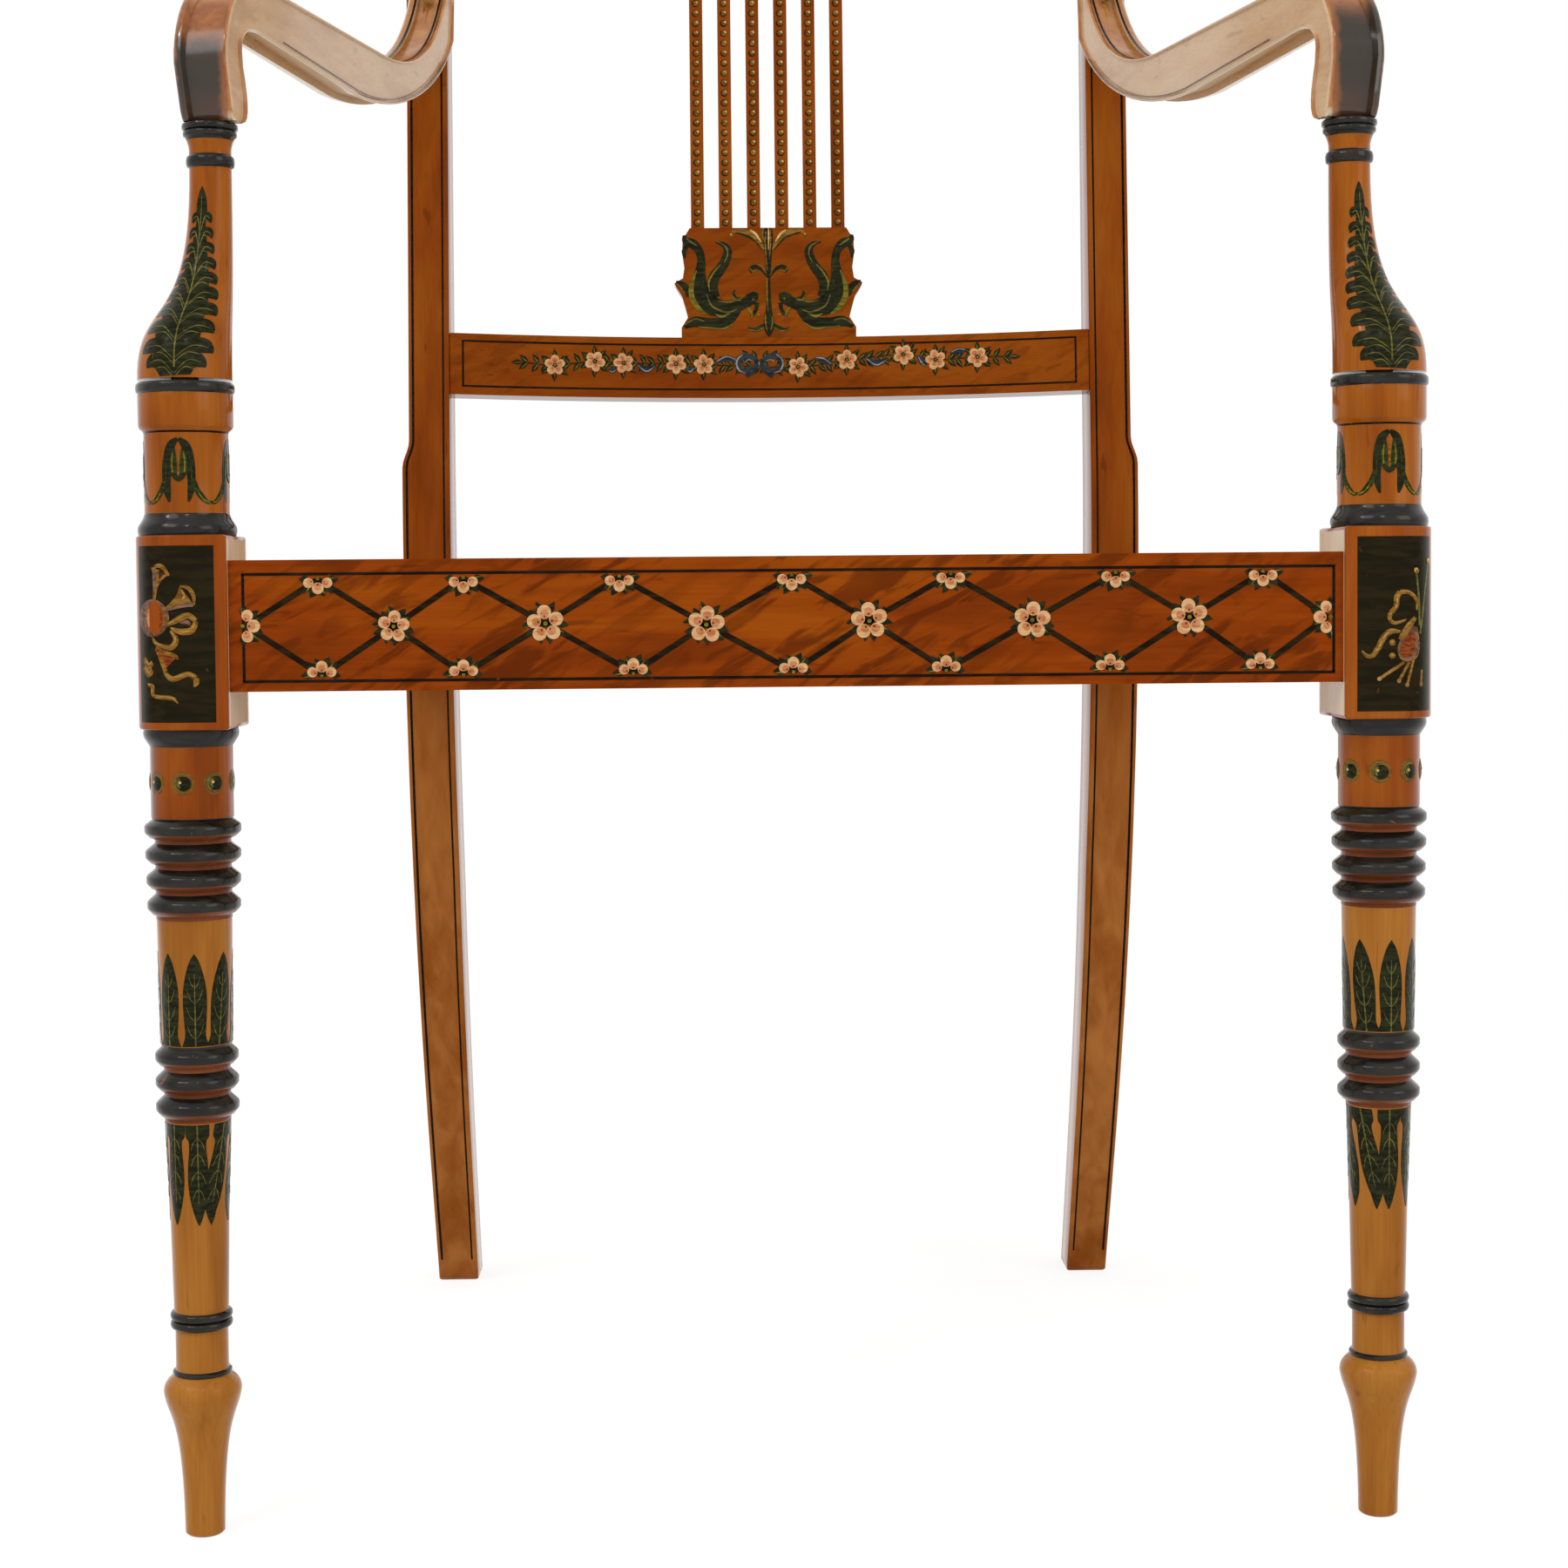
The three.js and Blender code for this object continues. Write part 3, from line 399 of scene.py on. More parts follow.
@dataclass(frozen=True)
class Timber:
    """Polished wood with streaks along its grain, fine fibres and small dark flecks."""

    name: str
    pale: str
    warm: str
    deep: str
    grain: Grain
    figure: float = 0.55
    flecks: float = 0.5
    gloss: float = 0.06
    flame: float = 0.0
    # Colour that the wood turns toward the floor: painted light, the lower part paler as if lit
    # from below
    low: str = ""
    patch: bool = False
    roughness: float = 0.4

    def make(self) -> bpy.types.Material:
        """Builds the material.

        Returns:
            The material.
        """
        shader = Shader(bpy.data.materials.new(self.name))
        spot = shader.place(self.grain.value)
        cloud = shader.noise(spot, 26, 4, 1.2)
        streak = shader.noise(spot, 95, 5, 0.6)
        fibre = shader.noise(shader.place([s**2 for s in self.grain.value], 3.0), 900, 3)
        body = (cloud * 0.62 + streak * 0.38).held(0.32, 0.68)
        deep = tint(self.deep)
        stops = [(0.0, deep), (0.45, tint(self.warm)), (1.0, tint(self.pale))]
        share = body * self.figure + (1 - self.figure) * 0.55
        colour = shader.node("ShaderNodeValToRGB", {"stops": stops}, {0: share})
        colour = shader.blend(fibre.held(0.35, 0.7) * 0.16, colour, deep)
        fleck = shader.noise(shader.place(self.grain.value, 7.0), 210, 2, 0.4).held(0.66, 0.76)
        colour = shader.blend(fleck * self.flecks, colour, deep)
        if self.flame:
            colour = shader.blend(self.ripple(shader) * self.flame, colour, deep)
        # Painted light: the lower part turns paler toward the floor, as if lit from below
        if self.low:
            painted_floor_light = shader.axis(2).held(0.47, 0.3) * 0.8
            colour = shader.blend(painted_floor_light, colour, shader.blend(body, tint(self.low), colour))
        if self.patch:
            colour = self.blacken(shader, colour)
        wear = shader.noise(shader.place(shift=11.0), 60, 4)
        return shader.finish(
            Base_Color=colour,
            Roughness=wear * 0.16 + (self.roughness - 0.08),
            Specular_IOR_Level=0.0,
            Coat_Weight=shader.sheen(self.gloss),
            Coat_IOR=1.5,
            Coat_Roughness=0.14,
            Normal=shader.relief(fibre * 0.5 + streak * 0.5, 0.00012, 0.35),
        )

    def ripple(self, shader: Shader) -> Sock:
        """Dark wavy flames that cross the grain at a slant.

        Args:
            shader: Node tree of the wood.

        Returns:
            Strength of the flames.
        """
        slant = {"Vector": shader.place(), "Rotation": (0, math.radians(29), 0)}
        turned = shader.node("ShaderNodeMapping", None, slant)
        drawn = {"Vector": turned, "Scale": (0.24, 0.5, 1.0)}
        broad = shader.noise(shader.node("ShaderNodeMapping", None, drawn), 150, 2.5, 0.7)
        where = shader.noise(shader.place(shift=2.0), 16, 2)
        return broad.held(0.47, 0.63) * (where.held(0.36, 0.58) * 0.75 + 0.25)

    def blacken(self, shader: Shader, colour: Sock) -> Sock:
        """Colour with the rubbed black patch on the knuckle's front, and painted reflection on the
        arm.

        Args:
            shader: Node tree of the wood.
            colour: Colour of the wood.

        Returns:
            The new colour.
        """
        rag = shader.noise(shader.place(), 150, 4, 0.5) * 0.01 - 0.005
        plain, near, high = abs(shader.axis(0)), shader.axis(1), shader.axis(2)
        out, up = plain + rag * 0.5, high + rag
        # Painted reflection: the sides, the underside and the back of the scroll keep the pale
        # wood, as if they mirrored the white surroundings at a grazing angle; the other faces turn
        # orange-brown
        inward = abs(shader.faces(0)).held(0.35, 0.75)
        worn = shader.blend(rag.held(-0.004, 0.004), tint("a35e1f"), tint("c98a4c"))
        behind = high.held(0.705, 0.7) * near.held(-0.206, -0.2)
        painted_sheen_faces = inward + shader.faces(2).held(-0.05, -0.4) + behind
        colour = shader.blend(painted_sheen_faces.held(0.0, 1.0), worn, colour)
        # Painted reflection of the white floor: the underside turns cream
        under = shader.faces(2).held(-0.2, -0.7) * 0.8
        colour = shader.blend(under, colour, tint("fbe9cd"))
        front = near.held(-0.2, -0.213) * plain.held(0.2478, 0.2492) * high.held(0.705, 0.69)
        brown = shader.blend(rag.held(-0.002, 0.002), tint("8f4c22"), tint("a9652f"))
        colour = shader.blend(front * 0.85, colour, brown)
        across = out.held(0.2492, 0.2532) * out.held(0.2732, 0.2698)
        raised = up - shader.axis(0).held(0.0, 0.1) * 0.02
        mask = across * raised.held(0.684, 0.668) * near.held(-0.206, -0.216)
        dark = shader.blend(up.held(0.656, 0.638) * 0.55, tint("24251c"), tint("5a3b2a"))
        return shader.blend(mask * 0.95, colour, dark)


@dataclass(frozen=True)
class Paint:
    """Brushed oil paint, thin and worn in places down to what is under it."""

    name: str
    colour: str
    shade: str
    under: str = "9a5524"
    worn: float = 0.0
    grain: Grain = Grain.ALONG_X
    scale: float = 420
    gloss: float = 0.06
    roughness: float = 0.4

    def make(self) -> bpy.types.Material:
        """Builds the material.

        Returns:
            The material.
        """
        shader = Shader(bpy.data.materials.new(self.name))
        brushed = shader.noise(shader.place(self.grain.value), self.scale, 3, 0.5)
        colour = shader.blend(brushed.held(0.36, 0.66), tint(self.shade), tint(self.colour))
        if self.worn:
            rub = shader.noise(shader.place(shift=5.0), 150, 5, 0.8)
            gone = rub.held(0.72 - self.worn * 0.3, 0.78 - self.worn * 0.26)
            colour = shader.blend(gone, colour, tint(self.under))
        return shader.finish(
            Base_Color=colour,
            Roughness=brushed * 0.2 + (self.roughness - 0.1),
            Specular_IOR_Level=0.0,
            Coat_Weight=shader.sheen(self.gloss),
            Coat_IOR=1.6,
            Coat_Roughness=0.16,
            Normal=shader.relief(brushed, 0.0001, 0.3),
        )


@dataclass(frozen=True)
class Plain:
    """Bare wood, cane or steel: an even body colour with a fine stretched pattern."""

    name: str
    colour: str
    shade: str
    grain: Grain = Grain.ALONG_X
    scale: float = 300
    roughness: float = 0.55
    metallic: float = 0.0

    def make(self) -> bpy.types.Material:
        """Builds the material.

        Returns:
            The material.
        """
        shader = Shader(bpy.data.materials.new(self.name))
        lines = shader.noise(shader.place(self.grain.value), self.scale, 4, 0.3)
        colour = shader.blend(lines.held(0.35, 0.65), tint(self.shade), tint(self.colour))
        return shader.finish(
            Base_Color=colour,
            Metallic=self.metallic,
            Roughness=lines * 0.2 + (self.roughness - 0.1),
            Normal=shader.relief(lines, 0.0002, 0.4),
        )


class Workshop:
    """Every finish of the chair, made once."""

    def __init__(self) -> None:
        """Makes the materials by the names that the pieces use."""
        self.made: dict[str, bpy.types.Material] = {}
        for finish in (
            Timber("rail_wood", "b0590b", "963f07", "5e2503", Grain.ALONG_X, flame=0.75),
            Timber("cross_wood", "a85a12", "8f4209", "5e2803", Grain.ALONG_X, flame=0.35),
            # The upright's low colour is painted light: its lower part is paler, as if lit from
            # below
            Timber("upright_wood", "a85f1c", "91450f", "5c2806", Grain.ALONG_Z, low="d48a44"),
            Timber("side_wood", "a0520e", "8a3c07", "5a2604", Grain.ALONG_Y),
            Timber("leg_wood", "c98b3c", "b4722a", "80450f", Grain.ALONG_Z, 0.5, 0.55, 0.15),
            Timber("drum_wood", "bb6a22", "9e4b0e", "6b300a", Grain.ALONG_Z, 0.5, 0.4, 0.15),
            # Pale wood for the block's inner side: painted reflection of the white surroundings at
            # a grazing angle
            Timber("bare_wood", "f6d8ae", "eac696", "c49a6c", Grain.ALONG_Z, 0.5, 0.4, 0.6),
            # The arm's pale colour shows only on its sides, underside and scroll back, as painted
            # reflection; its front and top take an orange-brown wood
            Timber(
                "arm_wood", "ebcca4", "dcb58b", "ae8358", Grain.ALONG_Y, 0.5, 0.4, 1.0, patch=True
            ),
            Timber("vase_wood", "c27324", "a2550e", "6f3005", Grain.ALONG_Z, 0.5, 0.4, 0.2),
            Timber("groove_wood", "9c5a36", "7c3f20", "4c200e", Grain.ALONG_X, 0.6, 0.3, 0.2),
            Paint("worn_black", "2b271e", "15140f", "7c4a2a", 0.12, scale=260, gloss=0.4),
            Paint("line_black", "251b12", "140e09", "6e3a1a", 0.1, scale=500),
            Paint("trellis_green", "2f220e", "1a1208", "8a4413", 0.1, scale=500),
            Paint("leaf_dark", "33341f", "1e2013", "7c4a1c", 0.06, scale=600),
            Paint("leaf_green", "3d4420", "25290f", "7c4a1c", 0.06, scale=700),
            Paint("leaf_light", "8b7c2a", "5d5a1e", scale=700),
            Paint("vein_olive", "7d7538", "55522a", "2c2b1a", 0.2, scale=600),
            Paint("petal_pink", "d59468", "bb7145", scale=800),
            Paint("petal_cream", "e9bd8a", "d69d68", scale=800),
            Paint("petal_spot", "9c4f24", "6e3014", scale=800),
            Paint("old_gold", "9f7230", "70491a", scale=600),
            Paint("dull_gold", "b8924e", "8a642c", scale=700),
            Paint("pale_gold", "e6cd92", "c79e4e", scale=700),
            Paint("gold_shade", "4a3213", "2d1c0a", scale=600),
            Paint("panel_green", "2b2412", "1f1a0c", "5c3212", 0.04, scale=300),
            Paint("ribbon_blue", "3a4149", "23282d", "7c4a1c", 0.05, scale=600),
            Paint("ribbon_light", "a3a9ab", "6d7378", scale=600),
            Paint("mauve_brown", "8d6a58", "5f4334", scale=500),
            Plain("inner_beech", "c9a06a", "b58850", Grain.ALONG_X, 160, 0.62),
            Plain("cane_skin", "dcc189", "c9a868", Grain.ALONG_X, 500, 0.42),
            Plain("screw_steel", "8a8780", "77746e", Grain.ALONG_X, 900, 0.4, 1.0),
        ):
            self.made[finish.name] = finish.make()

    def __getitem__(self, name: str) -> bpy.types.Material:
        """Material of that name."""
        return self.made[name]


class MeshMaker:
    """Gathers the faces of one piece, each with its finish, and makes the object."""

    def __init__(self, name: str, shop: Workshop, front: float, side: Side = Side.RIGHT) -> None:
        """Starts an empty piece.

        Args:
            name: Name of the piece.
            shop: The finishes.
            front: Place in the frame of the front face of the leg blocks, in metres.
            side: Half that the piece is for; the left half is mirrored.
        """
        self.name = name
        self.shop = shop
        self.front = front
        self.side = side
        self.points: list[Vector] = []
        self.faces: list[tuple[int, ...]] = []
        self.marks: list[int] = []
        self.finishes: list[str] = []

    def add(self, point: Vector) -> int:
        """Adds a point in millimetres and returns its number."""
        self.points.append(point)
        return len(self.points) - 1

    def face(self, corners: Iterable[int], finish: str) -> None:
        """Adds a face with its finish.

        Args:
            corners: Numbers of its points.
            finish: Its finish.
        """
        if finish not in self.finishes:
            self.finishes.append(finish)
        self.faces.append(tuple(corners))
        self.marks.append(self.finishes.index(finish))

    def grid(
        self,
        rows: Sequence[Sequence[Vector]],
        finish: str | Sequence[str],
        ring: bool = False,
        caps: bool = False,
    ) -> None:
        """Adds a surface through rows of points.

        Args:
            rows: Rows with the same number of points.
            finish: One finish, or one for each band between two rows.
            ring: Whether each row closes on itself.
            caps: Whether the first and last rows are closed by a face.
        """
        numbers = [[self.add(p) for p in row] for row in rows]
        across = len(rows[0])
        for i, (low, high) in enumerate(zip(numbers, numbers[1:])):
            mark = finish if isinstance(finish, str) else finish[i]
            for j in range(across if ring else across - 1):
                k = (j + 1) % across
                self.face((low[j], low[k], high[k], high[j]), mark)
        if caps:
            first, last = (finish, finish) if isinstance(finish, str) else (finish[0], finish[-1])
            self.face(reversed(numbers[0]), first)
            self.face(numbers[-1], last)

    def build(self, slot: str, replaced: Sequence[str] = (), sharp: float = 38) -> bpy.types.Object:
        """Makes the object and rides it on the chair's body.

        Args:
            slot: Not used.
            replaced: CAD nodes that the piece stands for.
            sharp: Angle in degrees above which an edge stays sharp.

        Returns:
            The object.
        """
        sign = self.side.value
        mesh = bpy.data.meshes.new(self.name)
        spots = [(p.x * sign * MM, p.y * MM + self.front, p.z * MM) for p in self.points]
        faces = self.faces if sign > 0 else [tuple(reversed(f)) for f in self.faces]
        mesh.from_pydata(spots, [], faces)
        for finish in self.finishes:
            mesh.materials.append(self.shop[finish])
        mesh.polygons.foreach_set("material_index", self.marks)
        mesh.validate()
        mesh.shade_smooth()
        mesh.set_sharp_from_angle(angle=math.radians(sharp))
        piece = bpy.data.objects.new(self.name, mesh)
        bpy.context.scene.collection.objects.link(piece)
        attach(piece, "root")
        if replaced:
            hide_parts(*replaced)
        log.info("%s: %d faces", self.name, len(faces))
        return piece


@dataclass
class Brush:
    """Lays strokes of paint, with their own thickness, on a surface of one piece.

    The surface takes a place across, a place up and a height above it, all in millimetres.
    """

    maker: MeshMaker
    surface: Surface
    coat: float = 0.09
    root: float = -0.25

    def height(self, layer: float) -> float:
        """Height of the top of a layer of paint."""
        return 0.05 + self.coat * (layer + 1)

    def stroke(self, spine: Spine, finish: str, layer: float = 0, steps: int = 4) -> None:
        """Paints one stroke.

        Args:
            spine: Places across and up with the half width there.
            finish: Its paint.
            layer: How many layers lie under it.
            steps: Stretches between two places.
        """
        line = rounded_line(spine, steps)
        columns = 2 + int(max(place[2] for place in spine) / 1.3)
        top = self.height(layer)
        across = [(1.0, self.root)]
        across += [(lerp(0.97, -0.97, i / columns), top) for i in range(columns + 1)]
        across += [(-1.0, self.root)]
        rows = []
        for i, (u, v, half) in enumerate(line):
            before, after = line[max(i - 1, 0)], line[min(i + 1, len(line) - 1)]
            du, dv = after[0] - before[0], after[1] - before[1]
            run = math.hypot(du, dv) or 1.0
            reach = max(half, 0.04)
            rows.append(
                [
                    self.surface(u - dv / run * reach * share, v + du / run * reach * share, rise)
                    for share, rise in across
                ]
            )
        self.maker.grid(rows, finish)

    def rule(self, start: Point, end: Point, half: float, finish: str, layer: float = 0) -> None:
        """Paints a straight line of even width from one place to another.

        Args:
            start: First place.
            end: Last place.
            half: Half width.
            finish: Its paint.
            layer: How many layers lie under it.
        """
        count = 2 + int(math.dist(start, end) / 4)
        spine = [
            (lerp(start[0], end[0], i / count), lerp(start[1], end[1], i / count), half)
            for i in range(count + 1)
        ]
        self.stroke(spine, finish, layer, 1)

    def frame(self, low: Point, high: Point, half: float, finish: str) -> None:
        """Paints the four lines of a frame between two corners.

        Args:
            low: Lowest corner.
            high: Opposite corner.
            half: Half width of a line.
            finish: Its paint.
        """
        (u0, v0), (u1, v1) = low, high
        for start, end in (
            ((u0 - half, v0), (u1 + half, v0)),
            ((u0 - half, v1), (u1 + half, v1)),
            ((u0, v0), (u0, v1)),
            ((u1, v0), (u1, v1)),
        ):
            self.rule(start, end, half, finish)

    def disc(
        self, u: float, v: float, r: float, finish: str, layer: float = 0, dome: float = 0.0
    ) -> None:
        """Paints a round spot.

        Args:
            u: Place across.
            v: Place up.
            r: Radius.
            finish: Its paint.
            layer: How many layers lie under it.
            dome: How much its middle stands above its rim.
        """
        top = self.height(layer)
        sides = 8 if r < 1 else 10 if r < 2 else 16
        levels = [(1.0, self.root), (0.97, top)]
        if dome:
            levels += [(0.8, top + dome * 0.45), (0.5, top + dome * 0.8), (0.18, top + dome)]
        turns = [2 * math.pi * i / sides for i in range(sides)]
        rows = [
            [self.surface(*around((u, v), r * share, turn), rise) for turn in turns]
            for share, rise in levels
        ]
        start = len(self.maker.points) + sides * (len(levels) - 1)
        self.maker.grid(rows, finish, ring=True)
        self.maker.face(range(start, start + sides), finish)

    def blade(
        self, foot: Point, turn: float, length: float, half: float, finish: str,
        layer: float = 0, bend: float = 0.0,
    ) -> None:
        """Paints a leaf or a petal that grows from a place.

        Args:
            foot: Where it starts.
            turn: Its direction in degrees, counted from the right and upward.
            length: Its length.
            half: Its half width.
            finish: Its paint.
            layer: How many layers lie under it.
            bend: Degrees that it turns on its way.
        """
        spine = []
        u, v = foot
        for i, width in enumerate((0.2, 0.8, 1.0, 0.6, 0.02)):
            spine.append((u, v, half * width))
            u, v = around((u, v), length / 4, math.radians(turn + bend * (i / 3 - 0.5)))
        self.stroke(spine, finish, layer, 3)

    def ribbon(self, points: Spine, layer: float) -> None:
        """Paints a gold ribbon with a paler edge."""
        self.stroke(points, "old_gold", layer)
        self.stroke([(u + 0.25, v + 0.3, w * 0.35) for u, v, w in points], "dull_gold", layer + 1)

    def ornament(
        self, marks: Marks, u: float = 0.0, v: float = 0.0, sign: int = 1, squeeze: float = 0.0
    ) -> None:
        """Paints a drawn ornament, mark by mark.

        Args:
            marks: Paint, layer and places; one place alone is a disc, its fourth number the dome.
            u: Shift across.
            v: Shift up.
            sign: -1 for the mirror image.
            squeeze: Share by which strokes are drawn in where they lie more than 26 mm across.
        """
        for finish, layer, *places in marks:
            if len(places) == 1:
                x, y, r, dome = places[0]
                self.disc(u + sign * x, v + y, r, finish, layer, dome)
            elif finish == "ribbon":
                self.ribbon(moved(places, u, v, sign), layer)
            else:
                spine = [(x - max(0, x - 26) * squeeze, y, half) for x, y, half in places]
                self.stroke(moved(spine, u, v, sign), finish, layer)

    def blossom(
        self, u: float, v: float, size: float, turn: float = 90.0, petals: int = 5,
        pitch: float = 72.0, cup: float = 0.0, fullness: float = 0.36,
    ) -> None:
        """Paints a flower of round petals round a small green eye.

        Args:
            u: Place across.
            v: Place up.
            size: Radius over its petals.
            turn: Direction of the middle petal in degrees.
            petals: Their number.
            pitch: Degrees between two of them.
            cup: How much the outer petals are smaller, for a half flower.
            fullness: Radius of a petal as a share of the size.
        """
        for i in range(petals):
            place = i - (petals - 1) / 2
            a = math.radians(turn + place * pitch)
            r = size * fullness * (1 - cup * abs(place))
            middle = around((u, v), size - r, a)
            self.disc(*middle, r * 1.13, "petal_cream", 2 + 0.3 * i, 0.1)
            self.disc(*around(middle, -0.34 * r, a), r * 0.7, "petal_pink", 4, 0.05)
            self.disc(*around(middle, -0.7 * r, a), r * 0.2, "petal_spot", 5)
        self.disc(u, v, size * 0.13, "leaf_light", 3, 0.1)


@dataclass
class Studio:
    """Camera, soft light and the pale floor."""

    eye: tuple[float, float, float] = (-0.033, -1.4375, 0.4237)
    dip: float = 2.49
    turn: float = 1.467
    roll: float = -0.48
    lens: float = 61.68
    shift_y: float = -0.0460
    sky_power: float = 0.62
    aim: tuple[float, float, float] = (0.0, 0.0, 0.45)
    reach: float = 6.0

    def camera(self) -> None:
        """Puts the camera where the photograph was taken from."""
        data = bpy.data.cameras.new("studio_camera")
        data.sensor_width = 36.0
        data.lens = self.lens
        data.shift_y = self.shift_y
        camera = bpy.data.objects.new("studio_camera", data)
        bpy.context.scene.collection.objects.link(camera)
        turned = (
            Matrix.Rotation(-math.radians(self.turn), 4, "Z")
            @ Matrix.Rotation(math.radians(90 - self.dip), 4, "X")
            @ Matrix.Rotation(math.radians(self.roll), 4, "Z")
        )
        camera.matrix_world = Matrix.Translation(self.eye) @ turned
        bpy.context.scene.camera = camera

    def lamp(self, name: str, spot: Vector, size: float, power: float) -> None:
        """Adds a soft square lamp that faces the chair.

        Args:
            name: Name of the lamp.
            spot: Its place.
            size: Length of its side.
            power: Its power in watts.
        """
        data = bpy.data.lights.new(name, "AREA")
        data.shape, data.size, data.energy = "SQUARE", size, power
        lamp = bpy.data.objects.new(name, data)
        bpy.context.scene.collection.objects.link(lamp)
        lamp.location = spot
        lamp.rotation_mode = "QUATERNION"
        lamp.rotation_quaternion = (Vector(self.aim) - spot).to_track_quat("-Z", "Y")

    def sky(self) -> None:
        """Even light all round, seen as white by the camera and in reflections."""
        world = bpy.data.worlds.new("studio_light")
        shader = Shader(world)
        soft, white = (
            shader.node("ShaderNodeBackground", None, {"Color": WHITE, "Strength": power})
            for power in (self.sky_power, 1.0)
        )
        shader.end("World", shader.seen(soft, white))
        bpy.context.scene.world = world

    def paper(self) -> bpy.types.Material:
        """White floor that takes a soft shadow and hands pale light back to the chair.

        Returns:
            The floor's material.
        """
        shader = Shader(bpy.data.materials.new("floor_paper"))
        body = shader.node("ShaderNodeBsdfDiffuse", None, {"Color": tint("e4e4e2")})
        faint = shader.node("ShaderNodeBsdfDiffuse", None, {"Color": tint("8c8c8c")})
        glow = shader.node("ShaderNodeEmission", None, {"Color": WHITE, "Strength": 0.84})
        shown = shader.node("ShaderNodeAddShader", None, {0: faint, 1: glow})
        shader.end("Material", shader.seen(body, shown))
        return shader.owner

    def floor(self) -> None:
        """Lays the pale floor."""
        mesh = bpy.data.meshes.new("studio_floor")
        r = self.reach
        mesh.from_pydata([(-r, -r, 0), (r, -r, 0), (r, r, 0), (-r, r, 0)], [], [(0, 1, 2, 3)])
        floor = bpy.data.objects.new("studio_floor", mesh)
        bpy.context.scene.collection.objects.link(floor)
        mesh.materials.append(self.paper())
        floor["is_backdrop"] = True

    def build(self) -> None:
        """Sets up the whole studio."""
        self.camera()
        self.sky()
        self.floor()
        self.lamp("key_lamp", Vector((-1.7, -2.2, 2.5)), 1.4, 18)
        self.lamp("fill_lamp", Vector((2.1, -1.8, 1.5)), 1.4, 13)
        self.lamp("left_spark", Vector((-1.9, -1.5, 2.3)), 0.16, 5)
        self.lamp("front_spark", Vector((0.1, -2.4, 2.3)), 0.16, 4)
        bpy.context.scene.view_settings.view_transform = "Standard"


@dataclass
class Turning:
    """Turned wood: a profile of radius, height and the finish of the band above it."""

    stations: list[Station] = field(default_factory=list)
    faces: int = 56

    def step(self, r: float, z: float, finish: str) -> None:
        """Adds one station."""
        self.stations.append((r, z, finish))

    def line(self, points: Sequence[Point], finish: str) -> None:
        """Adds stations that share a finish."""
        self.stations.extend((r, z, finish) for r, z in points)

    def bead(
        self, z0: float, z1: float, r0: float, r1: float, finish: str, square: float = 2.0
    ) -> None:
        """Adds a bead that swells from one radius to another and back.

        Args:
            z0: Its foot.
            z1: Its top.
            r0: Radius in the grooves.
            r1: Radius at the rim.
            finish: Its finish.
            square: 2 for a round rim, more for a flat one.
        """
        steps = 8
        for i in range(steps + 1):
            t = -1 + 2 * i / steps
            bulge = (1 - abs(t) ** square) ** (1 / square)
            self.step(lerp(r0, r1, bulge), lerp(z0, z1, (t + 1) / 2), finish)

    def lay(self, maker: MeshMaker, centre: Callable[[float], Vector]) -> None:
        """Turns the profile into faces.

        Args:
            maker: Piece that takes them.
            centre: Middle of the turning at a height.
        """
        turns = [2 * math.pi * i / self.faces for i in range(self.faces)]
        rows = []
        for r, z, _ in self.stations:
            middle = centre(z)
            rows.append([middle + spoke(r, turn) for turn in turns])
        maker.grid(rows, [finish for _, _, finish in self.stations[:-1]], ring=True, caps=True)


# Tail and veins of the right half of a husk
TAIL: Marks = (
    ("leaf_green", 1, (6.4, 477, 0.9), (7.9, 472.4, 1.3), (10.4, 468.9, 1.3), (13.2, 466.8, 0.8),
     (15.2, 467.4, 0.25)),
    ("leaf_light", 2, (8.6, 470.9, 0.3), (11, 467.9, 0.45), (14.1, 466.7, 0.3)),
    ("leaf_green", 0.6, (1.9, 490.4, 0.6), (2.4, 484, 1.7), (1.6, 477.6, 1)),
    ("leaf_light", 2, (2.3, 489, 0.15), (2.9, 483.4, 0.4), (2.1, 477.6, 0.2)),
    ("leaf_green", 2, (4.6, 487.6, 0.15), (5.6, 481, 0.35), (5.6, 474, 0.15)),
)

# Vein and tie in the middle of a husk
TIE: Marks = (
    ("old_gold", 2, (0, 489, 0.15), (-0.2, 484, 0.45), (0.3, 478.6, 0.2)),
    ("leaf_dark", 3, (-3, 479.6, 0.7), (0, 477.2, 1.3), (3, 479.6, 0.7)),
)

